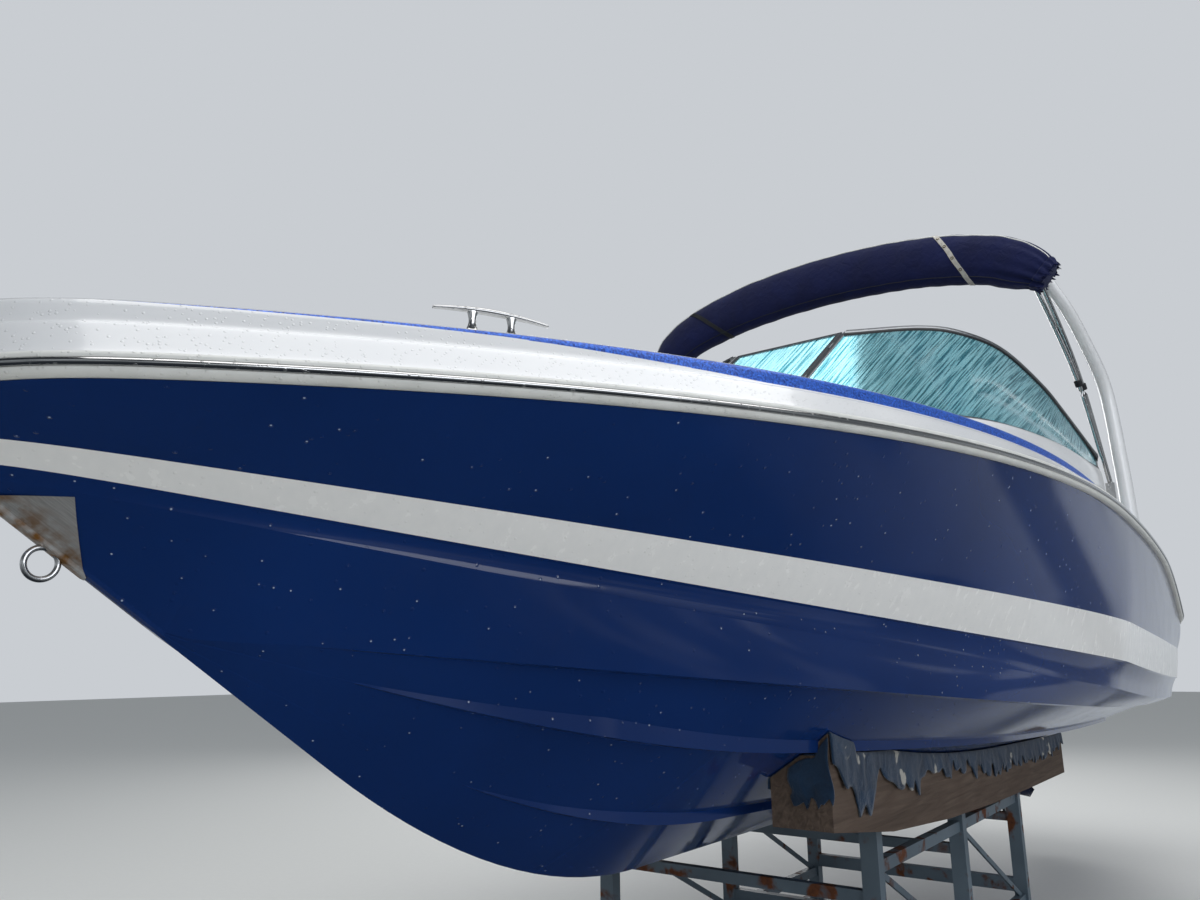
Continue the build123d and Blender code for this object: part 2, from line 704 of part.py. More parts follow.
# Bow cushions: one run down each side of the bow well, on the seat moulding
CUSHION_TALL = 90
with BuildPart() as bow_cushions:
    plan_prism(
        (
            (BOW_WELL_AFT + 30, WALKWAY_HALF + 6),
            (5290, WALKWAY_HALF + 6),
            (5660, 216),
            (BOW_WELL_FORE - 60, 200),
            (BOW_WELL_FORE - 60, 262),
            (5300, 568),
            (BOW_WELL_AFT + 30, 756),
        ),
        (BOW_SEAT + SEAT_GAP, BOW_SEAT + CUSHION_TALL),
    )
    mirror(about=Plane.XZ)
finish(bow_cushions, "bow_cushions")

# Walkway door between the consoles: panel hinged on a barrel at its port edge, and its jamb
DOOR_STATION, DOOR_THICK, DOOR_HIGH, BARREL = 4612, 26, 1240, 5
DOOR_PORT = WALKWAY_HALF - LINER - 23
BARREL_Y = DOOR_PORT + 4
with BuildPart() as door:
    block(
        (DOOR_STATION, DOOR_STATION + DOOR_THICK),
        (12 + LINER - WALKWAY_HALF, DOOR_PORT),
        (SOLE + 20, DOOR_HIGH),
    )
    block(
        (DOOR_STATION, DOOR_STATION + 4),
        (DOOR_PORT - 10, BARREL_Y),
        (SOLE + 40, DOOR_HIGH - 20),
    )
    with BuildSketch(Plane.XY.offset(SOLE + 40 + KEEL)):
        with Locations((DOOR_STATION - 2 - MID, BARREL_Y)):
            Circle(BARREL)
    extrude(amount=DOOR_HIGH - SOLE - 60)
finish(door, "walkway_door")
with BuildPart() as jamb:
    block(
        (DOOR_STATION - 18, DOOR_STATION + 14),
        (BARREL_Y + BARREL + SEAT_GAP, WALKWAY_HALF - LINER - SEAT_GAP),
        (SOLE + SEAT_GAP, DOOR_HIGH),
    )
finish(jamb, "door_jamb")

# Engine hatch: sloping lid over the bay, hinged at its forward edge, with the sunpad on top
HATCH_AFT, HATCH_FORE, HATCH_HALF, HATCH_THICK = BAY_AFT - 14, BAY_FORE + 20, BAY_HALF + 30, 60
SUNPAD_THICK, HATCH_LIP, HINGE_Y = 80, 12, HATCH_HALF - 120


def chord(x, value):
    """A value of the lofted mouldings, which run straight from each station to the next."""
    stations = (*STERN_STATIONS[:-1], *STATIONS)
    for aft, fore in zip(stations, stations[1:]):
        if aft <= x <= fore:
            return value(aft) + (value(fore) - value(aft)) * (x - aft) / (fore - aft)


def hatch_level(x, lift):
    """Height of the lid's underside over the crown of the deck, raised by a lift."""
    return chord(x, lambda at: height("rail", at)) + DECK_EDGE[-1][1] + DECK_CAMBER + RUN_GAP + lift


def hatch_side(low, high, inset):
    """Side outline of the lid between two lifts, bent where the deck bends."""
    run = (HATCH_AFT + inset, STATIONS[1], HATCH_FORE - inset)
    return [(x, hatch_level(x, low)) for x in run] + [(x, hatch_level(x, high)) for x in reversed(run)]


HINGE_STATION, HINGE_LIFT, HINGE_BARREL, HINGE_LONG = HATCH_FORE + 4, 6, 6, 60
with BuildPart() as hatch:
    side_prism(hatch_side(0, HATCH_THICK, 0), (-HATCH_HALF, HATCH_HALF))
    for side in (-1, 1):
        side_prism(hatch_side(-HATCH_LIP, 0, 0), sorted((side * (HATCH_HALF - HATCH_LIP), side * HATCH_HALF)))
        with BuildSketch(Plane.XZ.offset(-side * HINGE_Y)):
            with Locations((HINGE_STATION - MID, hatch_level(HATCH_FORE, HINGE_LIFT) + KEEL)):
                Circle(HINGE_BARREL)
        extrude(amount=HINGE_LONG / 2, both=True)
finish(hatch, "engine_hatch")
with BuildPart() as sunpad:
    pad = (HATCH_THICK + SEAT_GAP, HATCH_THICK + SUNPAD_THICK)
    side_prism(hatch_side(*pad, 12), (-HATCH_HALF + 12, -3))
    side_prism(hatch_side(*pad, 12), (3, HATCH_HALF - 12))
finish(sunpad, "sunpad")
with BuildPart() as hatch_hinges:
    for side in (-1, 1):
        middle = side * HINGE_Y
        block(
            (HINGE_STATION - 2, HINGE_STATION + 44),
            (middle - HINGE_LONG / 2, middle + HINGE_LONG / 2),
            (
                hatch_level(HATCH_FORE, -RUN_GAP - 40),
                hatch_level(HATCH_FORE, HINGE_LIFT - HINGE_BARREL - SEAT_GAP),
            ),
        )
    add(deck_blank.part, mode=Mode.SUBTRACT)
finish(hatch_hinges, "hatch_hinges")

# Engine: one plain block on its beds in the bay
with BuildPart() as engine:
    block((BAY_AFT + 40, BAY_AFT + 740), (-290, 290), (BAY_FLOOR + SEAT_GAP, BAY_FLOOR + 540))
finish(engine, "engine")

# Sterndrive: transom shield with lugs, steering ring, tilting case with its leg, and the propeller
STEER_STATION, TILT_LEVEL = TRANSOM - 140, 330
RING_HALF, RING_TALL, RING_DEEP, SHIELD_THICK = 124, 146, 36, 34
STEER_PIN, TILT_PIN, LUG_THICK, LUG_HALF = 12, 14, 38, 34


def pin_along_z(radius, low, high, mode=Mode.ADD):
    """A round pin or hole on the steering axis between two heights."""
    with BuildSketch(Plane.XY.offset(low + KEEL)) as ring:
        with Locations((STEER_STATION - MID, 0)):
            Circle(radius)
    extrude(ring.sketch, amount=high - low, mode=mode)


def pin_along_y(radius, half_long, mode=Mode.ADD):
    """A round pin or hole on the tilt axis, this far to each side."""
    with BuildSketch(Plane.XZ) as ring:
        with Locations((STEER_STATION - MID, TILT_LEVEL + KEEL)):
            Circle(radius)
    extrude(ring.sketch, amount=half_long, both=True, mode=mode)


with BuildPart() as transom_shield:
    with BuildSketch(Plane.YZ.offset(TRANSOM - SEAT_GAP - MID)):
        with Locations((0, TILT_LEVEL + 10 + KEEL)):
            RectangleRounded(340, 420, 60)
    extrude(amount=-SHIELD_THICK)
    for side in (-1, 1):
        near = TILT_LEVEL + side * (RING_TALL + RUN_GAP)
        low, high = sorted((near, near + side * LUG_THICK))
        block((STEER_STATION, TRANSOM - SHIELD_THICK), (-LUG_HALF, LUG_HALF), (low, high))
        pin_along_z(LUG_HALF, low, high)
        pin_along_z(STEER_PIN + SEAT_GAP, low - 1, high + 1, Mode.SUBTRACT)
finish(transom_shield, "transom_shield")

with BuildPart() as gimbal:
    reach, tall = (STEER_STATION - RING_DEEP, STEER_STATION + RING_DEEP), RING_TALL
    inside, low = RING_HALF - 32, RING_TALL - 38
    block(reach, (-RING_HALF, RING_HALF), (TILT_LEVEL - tall, TILT_LEVEL + tall))
    block(
        (reach[0] - 10, reach[1] + 10), (-inside, inside), (TILT_LEVEL - low, TILT_LEVEL + low), Mode.SUBTRACT
    )
    pin_along_y(TILT_PIN + SEAT_GAP, RING_HALF + 10, Mode.SUBTRACT)
    for side in (-1, 1):
        ends = sorted((TILT_LEVEL + side * (tall - 1), TILT_LEVEL + side * (tall + RUN_GAP + LUG_THICK)))
        pin_along_z(STEER_PIN, *ends)
finish(gimbal, "gimbal_ring")

# Side of the tilting case about its pins: station, height
DRIVE_SIDE = (
    (40, -96),
    (44, 60),
    (-20, 96),
    (-62, 76),
    (-96, 46),
    (-106, 46),
    (-140, 84),
    (-230, 96),
    (-262, 30),
    (-250, -290),
    (-60, -290),
    (-60, -180),
    (-52, -98),
)
with BuildPart() as drive_case:
    side_prism([(STEER_STATION + x, TILT_LEVEL + z) for x, z in DRIVE_SIDE], (-76, 76))
    pin_along_y(TILT_PIN, RING_HALF)
finish(drive_case, "drive_case")

PROP_LEVEL, PROP_RADIUS, SKEG_LEVEL, GEARCASE = TILT_LEVEL - 530, 178, TILT_LEVEL - 740, 54
PROP_AFT, PROP_FORE = STEER_STATION - 470, STEER_STATION - 345
SHAFT, SHAFT_LONG = 14, 90
with BuildPart() as drive_leg:
    side_prism(
        (
            (STEER_STATION - 60, TILT_LEVEL - 290 - SEAT_GAP),
            (STEER_STATION - 250, TILT_LEVEL - 290 - SEAT_GAP),
            (STEER_STATION - 230, PROP_LEVEL),
            (STEER_STATION - 40, PROP_LEVEL),
        ),
        (-34, 34),
    )
    block((STEER_STATION - 430, STEER_STATION - 30), (-120, 120), (TILT_LEVEL - 312, TILT_LEVEL - 298))
    with BuildSketch(Plane.YZ.offset(PROP_FORE + 8 - MID)):
        with Locations((0, PROP_LEVEL + KEEL)):
            Circle(GEARCASE)
    extrude(amount=STEER_STATION - 60 - PROP_FORE)
    with Locations((STEER_STATION - 52 - MID, 0, PROP_LEVEL + KEEL)):
        Sphere(GEARCASE)
    side_prism(
        (
            (STEER_STATION - 60, PROP_LEVEL - 30),
            (STEER_STATION - 290, PROP_LEVEL - 30),
            (STEER_STATION - 290, SKEG_LEVEL),
            (STEER_STATION - 230, SKEG_LEVEL),
        ),
        (-8, 8),
    )
    with BuildSketch(Plane.YZ.offset(PROP_FORE - MID)):
        with Locations((0, PROP_LEVEL + KEEL)):
            Circle(SHAFT + SEAT_GAP)
    extrude(amount=SHAFT_LONG + 2, mode=Mode.SUBTRACT)
finish(drive_leg, "drive_leg")

BLADE_THICK, BLADES, HUB = 7, 3, 48
with BuildPart() as propeller:
    with BuildSketch(Plane.YZ.offset(PROP_AFT - MID)):
        with Locations((0, PROP_LEVEL + KEEL)):
            Circle(HUB)
    extrude(amount=PROP_FORE - PROP_AFT)
    with BuildSketch(Plane.YZ.offset(PROP_FORE - MID)):
        with Locations((0, PROP_LEVEL + KEEL)):
            Circle(SHAFT)
    extrude(amount=SHAFT_LONG)
    for blade in range(BLADES):
        turn = 360 * blade / BLADES
        for reach, pitch, wide in ((HUB - 14, 52, 84), (PROP_RADIUS * 0.62, 34, 118), (PROP_RADIUS, 24, 60)):
            spoke = Vector(0, sin(radians(turn)), cos(radians(turn)))
            across = Vector(0, cos(radians(turn)), -sin(radians(turn)))
            middle = Vector((PROP_AFT + PROP_FORE) / 2 - MID, 0, PROP_LEVEL + KEEL) + spoke * reach
            chordwise = across * cos(radians(pitch)) + Vector(1, 0, 0) * sin(radians(pitch))
            with BuildSketch(Plane(origin=middle, x_dir=chordwise, z_dir=spoke)):
                Rectangle(wide, BLADE_THICK)
        loft(ruled=True)
finish(propeller, "propeller")

# Boarding ladder: folded forward on the platform, hinged on lugs over its aft edge
LADDER_Y, LADDER_WIDE, LADDER_LONG, LADDER_ROD, LADDER_PIN = 560, 300, 500, 11, 7
LADDER_HINGE, LADDER_LEVEL = -22, PLATFORM_TOP + PLATFORM_THICK + 16


def ladder_pin(radius, beyond, mode=Mode.ADD):
    """The hinge rod, or the holes for it, this far beyond the lugs."""
    with BuildSketch(Plane.XZ.offset(-LADDER_Y)) as ring:
        with Locations((LADDER_HINGE - MID, LADDER_LEVEL + KEEL)):
            Circle(radius)
    extrude(ring.sketch, amount=LADDER_WIDE / 2 + 27 + beyond, both=True, mode=mode)


with BuildPart() as ladder_lugs:
    for side in (-1, 1):
        y = LADDER_Y + side * (LADDER_WIDE / 2 + 22)
        side_prism(
            (
                (LADDER_HINGE - 14, LADDER_LEVEL - 14),
                (60, PLATFORM_TOP + PLATFORM_THICK + SEAT_GAP),
                (60, PLATFORM_TOP + PLATFORM_THICK + 8),
                (LADDER_HINGE + 10, LADDER_LEVEL + 14),
                (LADDER_HINGE - 14, LADDER_LEVEL + 12),
            ),
            (y - 5, y + 5),
        )
    ladder_pin(LADDER_PIN + SEAT_GAP, 10, Mode.SUBTRACT)
finish(ladder_lugs, "ladder_lugs")
with BuildPart() as ladder:
    for side in (-1, 1):
        y = LADDER_Y + side * LADDER_WIDE / 2
        tube(((LADDER_HINGE, y, LADDER_LEVEL), (LADDER_HINGE + LADDER_LONG, y, LADDER_LEVEL)), LADDER_ROD)
    rungs = (LADDER_Y - LADDER_WIDE / 2, LADDER_Y + LADDER_WIDE / 2)
    for share in (0.3, 0.6, 0.9):
        step = LADDER_HINGE + share * LADDER_LONG
        block((step - 16, step + 16), rungs, (LADDER_LEVEL - 8, LADDER_LEVEL + 8))
    tube(((LADDER_HINGE, rungs[0], LADDER_LEVEL), (LADDER_HINGE, rungs[1], LADDER_LEVEL)), LADDER_ROD)
    ladder_pin(LADDER_PIN, 4)
finish(ladder, "boarding_ladder")

# Arch: two tapering legs that lean forward into a crossbar. Columns: station, Y, height, wide, thick
ARCH = (
    (2110, 1196, 1300, 130, 72),
    (2130, 1190, 1600, 128, 70),
    (2165, 1172, 1990, 118, 66),
    (2380, 1134, 2200, 104, 62),
    (2640, 1080, 2370, 88, 60),
    (2755, 980, 2500, 76, 60),
    (2790, 640, 2616, 70, 60),
    (2795, 0, 2660, 70, 60),
)


def oval(x, y, z, run, wide, thick):
    """Adds an oval section square to a run, its width lying forward."""
    plane = Plane(origin=(x - MID, y, z + KEEL), x_dir=Vector(1, 0, 0) - run * run.X, z_dir=run)
    turns = [radians(360 * (flat + 0.5) / OVAL_FLATS) for flat in range(OVAL_FLATS)]
    with BuildSketch(plane) as section:
        with BuildLine():
            Polyline(*[(wide / 2 * cos(turn), thick / 2 * sin(turn)) for turn in turns], close=True)
        make_face()
    add(section.sketch)


def eased(rows):
    """Rows on a smooth curve through the given ones, the last of which lies on the centreline."""
    x, y, z, wide, thick = rows[-2]
    held = [rows[0], *rows, (x, -y, z, wide, thick)]
    smooth = []
    for before, near, far, after in zip(held, held[1:], held[2:], held[3:]):
        for bay in range(OVAL_BAYS):
            t = bay / OVAL_BAYS
            smooth.append(
                [
                    b + t / 2 * (c - a + t * (2 * a - 5 * b + 4 * c - d + t * (3 * b - 3 * c + d - a)))
                    for a, b, c, d in zip(before, near, far, after)
                ]
            )
    return [*smooth, rows[-1]]


def oval_bays(given):
    """Lofts oval sections bay by bay along the eased rows, port side, then mirrors them."""
    rows = eased(given)
    for aft, fore in zip(range(len(rows) - 1), range(1, len(rows))):
        for i in (aft, fore):
            x, y, z, wide, thick = rows[i]
            low, high = rows[max(i - 1, 0)], rows[min(i + 1, len(rows) - 1)]
            run = Vector(high[0] - low[0], high[1] - low[1], high[2] - low[2])
            oval(x, y, z, run.normalized() if y else Vector(0, -1, 0), wide, thick)
        loft(ruled=True)
    mirror(about=Plane.XZ)


with BuildPart() as arch:
    oval_bays(ARCH)
    add(deck_blank.part, mode=Mode.SUBTRACT)
finish(arch, "arch")

# Masthead lamp on the crossbar: radius and height above the bar, from the foot up over the dome
LAMP = ((18, -6), (18, 66), (24, 72), (24, 94), (19, 106), (9, 113), (0, 114))
with BuildPart() as lamp:
    x, _, z, _, thick = ARCH[-1]
    top = (x - MID, 0, z + thick / 2 + KEEL)
    with BuildSketch(Plane(origin=top, x_dir=(1, 0, 0), z_dir=(0, -1, 0))) as side:
        with BuildLine():
            Polyline((0, LAMP[0][1]), *LAMP, close=True)
        make_face()
    revolve(side.sketch, axis=Axis(top, (0, 0, 1)))
    add(arch.part, mode=Mode.SUBTRACT)
finish(lamp, "masthead_lamp")

# Stowed bimini: its canvas boot lies along the front of the arch. Columns: as the arch
BOOT_STATION = ARCH[-1][0] + ARCH[-1][3] / 2 + 78
BOOT = (
    (BOOT_STATION, 1090, 2380, 96, 150),
    (BOOT_STATION, 980, 2468, 140, 236),
    (BOOT_STATION, 800, 2556, 148, 262),
    (BOOT_STATION, 450, 2632, 150, 276),
    (BOOT_STATION, 0, 2660, 150, 280),
)
with BuildPart() as boot:
    oval_bays(BOOT)
    add(arch.part, mode=Mode.SUBTRACT)
finish(boot, "bimini_boot")

# Bimini legs: stainless tubes from a foot outside the windshield's end up into the boot
FOOT_STATION, FOOT_Y, FOOT_TOP, LEG_ROD = 2385, 1160, 1460, 11
with BuildPart() as bimini_feet:
    block((FOOT_STATION - 26, FOOT_STATION + 26), (FOOT_Y - 20, FOOT_Y + 20), (1250, FOOT_TOP))
    mirror(about=Plane.XZ)
    add(deck_blank.part + coaming.part, mode=Mode.SUBTRACT)
finish(bimini_feet, "bimini_feet")
# Columns: foot, middle and head of a tube, each as station, Y and height
BIMINI_TUBES = (
    ((FOOT_STATION, FOOT_Y, FOOT_TOP + SEAT_GAP), (2600, 1112, 1990), (BOOT_STATION + 20, 1040, 2420)),
    ((FOOT_STATION + 62, 1148, FOOT_TOP + 130), (2630, 1100, 1990), (BOOT_STATION - 20, 1000, 2440)),
)
with BuildPart() as bimini_legs:
    for path in BIMINI_TUBES:
        tube(path, LEG_ROD)
    block((FOOT_STATION + 14, FOOT_STATION + 76), (1128, 1166), (FOOT_TOP + 96, FOOT_TOP + 136))
    mirror(about=Plane.XZ)
    add(boot.part + arch.part + bimini_feet.part, mode=Mode.SUBTRACT)
finish(bimini_legs, "bimini_legs")

# Cradle: carpeted timber bunks under the bottom panels, on three steel frames
BUNK_IN, BUNK_OUT, BUNK_TALL, CARPET = 440, 630, 140, 12
BUNK_STATIONS = (1500, 2300, WIDEST, 3700, 4300, 4780)
FRAME_STATIONS = (2330, 3290, 4260)
LEG_Y, LEG_WIDE, LEG_DEEP, FOOT_PLATE, FOOT_THICK = 535, 60, 50, 150, 10
FOOT_BOLTS, FOOT_HOLE = 110, 7


def panel(x, y):
    """Height of the bottom panel at a hull station, strakes left aside."""
    level = max(height("chine", x), stem(x))
    return stem(x) + (level - stem(x)) * y / half("chine", x)


def bunk_top(x, y):
    """Height of the timber under the bottom panel."""
    return chord(x, lambda at: panel(at, y)) - CARPET


def bunk_section(x, low, high):
    """Outline across one bunk between two offsets from the timber's top edge."""
    outline(
        [
            (x, BUNK_IN, bunk_top(x, BUNK_IN) + low[0]),
            (x, BUNK_OUT, bunk_top(x, low[2]) + low[1]),
            (x, BUNK_OUT, bunk_top(x, BUNK_OUT) + high),
            (x, BUNK_IN, bunk_top(x, BUNK_IN) + high),
        ]
    )


with BuildPart() as bunks:
    for aft, fore in zip(BUNK_STATIONS, BUNK_STATIONS[1:]):
        for x in (aft, fore):
            bunk_section(x, (-BUNK_TALL, -BUNK_TALL, BUNK_IN), 0)
        loft(ruled=True)
    mirror(about=Plane.XZ)
    add(Pos(0, 0, -CARPET) * envelope.part, mode=Mode.SUBTRACT)
finish(bunks, "cradle_bunks")

with BuildPart() as carpet:
    for aft, fore in zip(BUNK_STATIONS, BUNK_STATIONS[1:]):
        for x in (aft, fore):
            bunk_section(x, (-40, -40, BUNK_OUT), 60)
        loft(ruled=True)
    mirror(about=Plane.XZ)
    add(envelope.part + bunks.part, mode=Mode.SUBTRACT)
finish(carpet, "bunk_carpet")

with BuildPart() as frames:
    for x in FRAME_STATIONS:
        for side in (-1, 1):
            block(
                (x - LEG_DEEP / 2, x + LEG_DEEP / 2),
                (side * LEG_Y - LEG_WIDE / 2, side * LEG_Y + LEG_WIDE / 2),
                (FOOT_THICK - KEEL, bunk_top(x, LEG_Y) - BUNK_TALL / 2),
            )
            block(
                (x - FOOT_PLATE / 2, x + FOOT_PLATE / 2),
                (side * LEG_Y - FOOT_PLATE / 2, side * LEG_Y + FOOT_PLATE / 2),
                (-KEEL, FOOT_THICK - KEEL),
            )
            with BuildSketch(Plane.XY.offset(0)) as holes:
                with Locations((x - MID, side * LEG_Y)):
                    with GridLocations(FOOT_BOLTS, FOOT_BOLTS, 2, 2):
                        Circle(FOOT_HOLE)
            extrude(holes.sketch, amount=FOOT_THICK, mode=Mode.SUBTRACT)
        block((x - 22, x + 22), (-LEG_Y, LEG_Y), (-470, -410))
        block((x - 18, x + 18), (-LEG_Y, LEG_Y), (-150, -110))
    add(bunks.part, mode=Mode.SUBTRACT)
finish(frames, "cradle_frames")

with BuildPart() as rails:
    for side in (-1, 1):
        for aft, fore in zip(FRAME_STATIONS, FRAME_STATIONS[1:]):
            ends = (aft + LEG_DEEP / 2 + SEAT_GAP, fore - LEG_DEEP / 2 - SEAT_GAP)
            for level, tall in ((-60, 40), (-520, 44)):
                block(ends, (side * LEG_Y - 18, side * LEG_Y + 18), (level, level + tall))
            side_prism(
                (
                    (ends[0], -476),
                    (ends[0] + 50, -476),
                    (ends[1], -60),
                    (ends[1] - 50, -60),
                ),
                (side * LEG_Y - 5, side * LEG_Y + 5),
            )
finish(rails, "cradle_rails")
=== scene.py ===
from math import cos, pi, radians, sin
import bmesh
import bpy
import numpy as np
from mathutils import Matrix, Vector
from mathutils.bvhtree import BVHTree


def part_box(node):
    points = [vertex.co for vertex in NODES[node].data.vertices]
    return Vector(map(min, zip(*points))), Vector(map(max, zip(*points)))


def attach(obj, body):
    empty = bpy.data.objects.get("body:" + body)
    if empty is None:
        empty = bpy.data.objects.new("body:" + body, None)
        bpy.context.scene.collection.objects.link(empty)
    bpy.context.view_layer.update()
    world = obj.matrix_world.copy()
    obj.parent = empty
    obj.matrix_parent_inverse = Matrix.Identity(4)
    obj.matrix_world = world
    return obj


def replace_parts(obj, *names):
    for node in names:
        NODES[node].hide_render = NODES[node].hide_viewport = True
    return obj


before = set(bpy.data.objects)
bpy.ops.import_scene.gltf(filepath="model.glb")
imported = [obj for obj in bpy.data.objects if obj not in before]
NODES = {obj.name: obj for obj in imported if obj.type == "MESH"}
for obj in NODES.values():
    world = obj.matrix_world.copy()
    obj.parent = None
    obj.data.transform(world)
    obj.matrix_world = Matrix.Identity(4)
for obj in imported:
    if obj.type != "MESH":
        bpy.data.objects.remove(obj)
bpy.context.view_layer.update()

# Hull: one glass fibre moulding with a navy gelcoat, mirror smooth because its mould was polished.
# The pale band is a second gelcoat in the same mould. Each line along the hull is a moulded crease.
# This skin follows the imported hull's long edges 1.5 mm outside it and has no flats in it.
LENGTH, MID, KEEL = 6.945, 3.478, 0.650
WIDEST, HALF_BEAM, AFT_TAPER, BOW_POWER, NOSE, STERN_CORNER = 3.020, 1.270, 0.064, 0.948, 0.5, 0.35
STEM_FOOT, STEM_CURVE, STEM_SLOPE, STEM_HALF = LENGTH - 2.095, 0.283, 0.68, 0.012
EDGES = {
    "rail": (0, 0.355, 0, 2.431, (1.033, 0.636, -0.643)),
    "band_top": (0.037, 0.150, -0.048, 1.532, (0.682, 0.117, 0.189)),
    "band_foot": (0.066, 0.062, -0.098, 1.385, (0.499, 0.094, 0.372)),
    "spray_strip": (0.114, -0.009, -0.130, 1.464, (0.383, 0.048, 0.521)),
    "chine": (0.194, -0.421, -0.498, 1.932, (0.357, 0.016, 0.358)),
}
STRAKES = ((0.30, 0.042, 5.750), (0.68, 0.050, 6.150))
CHINE_FLAT, BAND_STEP, SKIN_PROUD = 0.048, 0.009, 0.0015
BOW_END, WING_IN, TRANSOM, NEAR_SKIN = 6.935, 0.620, 0.700, 0.025
RAIL_SWEEP, SWEEP_LONG, STRAKE_FADE, FLAT_END, FLAT_FADE, LEDGE_SHARE = 0.293, 1.6, 0.6, 6.3, 0.9, 0.12


def breadth(name, x):
    """Half breadth of a long edge: full beam, tapered aft by a square and forward by a power curve,
    rounded over the nose by an eighth power and at the stern by a quarter circle in plan."""
    inset, beyond, tip, power, _ = EDGES[name]
    fore = np.clip((x - WIDEST) / (LENGTH + beyond - WIDEST), 0, 1)
    aft = np.clip((WIDEST - x) / WIDEST, 0, 1)
    half = (HALF_BEAM - inset) * (1 - fore**power) ** BOW_POWER * (1 - AFT_TAPER * aft**2)
    half = half * np.sqrt(1 - np.clip((x - LENGTH - tip + NOSE) / NOSE, 0, 1) ** 8)
    short = np.clip(STERN_CORNER - x, 0, STERN_CORNER)
    return half - STERN_CORNER + np.sqrt(STERN_CORNER**2 - short**2)


def level(name, x):
    """Height of a long edge above the keel: a parabola in the station, the rail swept down aft."""
    start, slope, curve = EDGES[name][4]
    share = x / LENGTH
    height = start + slope * share + curve * share**2
    return height - RAIL_SWEEP * np.clip(1 - x / SWEEP_LONG, 0, 1) ** 2 if name == "rail" else height


def stem(x):
    """Keel line: flat, then a parabola from the stem's foot, then straight up the stem."""
    run, bend = np.clip(x - STEM_FOOT, 0, None), STEM_SLOPE / (2 * STEM_CURVE)
    return np.where(run < bend, STEM_CURVE * run**2, STEM_SLOPE * run - STEM_CURVE * bend**2)


def plan_normal(x, name="rail"):
    """Outward direction in plan of a long edge: its slope turned by a right angle, as X and Y."""
    near, far = np.clip(x - 1e-4, 0, BOW_END), np.clip(x + 1e-4, 0, BOW_END)
    slope = (breadth(name, far) - breadth(name, near)) / (far - near)
    long = np.sqrt(1 + slope**2)
    return -slope / long, 1 / long


def hull_lines(x):
    """Long lines of the port half from keel to rail, each as arrays of Y and height at stations x."""
    keel, half = stem(x), np.maximum(breadth("chine", x), STEM_HALF)
    top = np.maximum(level("chine", x), keel + 0.008)
    slope = (top - keel) / half
    rows = [(0 * x, keel)]
    for share, width, end in STRAKES:
        inner = share * half
        ledge = np.minimum(width * np.clip((end - x) / STRAKE_FADE, 0, 1) + 0.001, LEDGE_SHARE * half)
        rows += [(inner, keel + slope * inner), (inner + ledge, keel + slope * inner + 0.0005)]
        rows += [(inner + ledge + 0.001, keel + slope * (inner + ledge + 0.001))]
    flat = np.minimum(CHINE_FLAT * np.clip((FLAT_END - x) / FLAT_FADE, 0, 1) + 0.001, LEDGE_SHARE * half)
    rows += [(half - flat, top - 0.002), (half, top)]
    foot, band = breadth("band_foot", x), level("band_foot", x)
    rows += [(breadth("spray_strip", x), level("spray_strip", x)), (foot - BAND_STEP, band - 0.005)]
    rows += [(foot, band)] + [(breadth(name, x), level(name, x)) for name in ("band_top", "rail")]
    kept = [rows[0]]
    for y, z in rows[1:]:
        kept.append((np.maximum(y, STEM_HALF + 0.0005 * len(kept)), np.maximum(z, kept[-1][1] + 0.0012)))
    return kept


def panel_rows(low, high, count, bow):
    """Rows from one long line up to the next, bowed outward by a parabola that fades at the stem."""
    share = np.arange(count)[:, None] / count
    bulge = 4 * bow * np.clip(low[0] / 0.5, 0, 1) * share * (1 - share)
    return list(zip(low[0] + (high[0] - low[0]) * share + bulge, low[1] + (high[1] - low[1]) * share))


def skin(x, rows, out, down=0.0):
    """Points in the frame of rows of Y and height, moved out square to the rail's plan and down."""
    nx, ny = plan_normal(x)
    spots = [(x - MID + out * nx * (y > 0), y + out * ny * (y > 0), z + KEEL - down) for y, z in rows]
    return np.array([np.stack(spot, -1) for spot in spots])


def closed_at_stem(grid):
    """Carries the last column of a port grid over to the centreline in four steps."""
    last = grid[:, -1:, :]
    return np.concatenate([grid, *[last * [1, share, 1] for share in (0.75, 0.5, 0.25, 0)]], 1)


def sheet_mesh(name, grid, materials, bands=None, flip=False, crease=30, ring=False, marks=None):
    """A surface over a grid of points, rows by columns, smooth except where it creases. Each row of
    faces, or each face, takes the material that bands names, a ring joins its last row to its first,
    and marks at the points are kept as the attribute "run"."""
    rows, columns = grid.shape[:2]
    index = np.arange(rows * columns).reshape(rows, columns)
    if ring:
        index = np.vstack([index, index[:1]])
    corners = [index[:-1, :-1], index[:-1, 1:], index[1:, 1:], index[1:, :-1]]
    quads = np.stack(corners[::-1] if flip else corners, -1).reshape(-1, 4)
    mesh = bpy.data.meshes.new(name)
    mesh.from_pydata(grid.reshape(-1, 3).tolist(), [], quads.tolist())
    for made in materials:
        mesh.materials.append(made)
    if bands is not None:
        kinds = np.broadcast_to(np.reshape(bands, (len(bands), -1)), (len(bands), columns - 1))
        mesh.polygons.foreach_set("material_index", kinds.ravel().astype(np.int32))
    if marks is not None:
        mesh.attributes.new("run", "FLOAT_VECTOR", "POINT").data.foreach_set("vector", marks.ravel())
    return placed(name, mesh, crease)


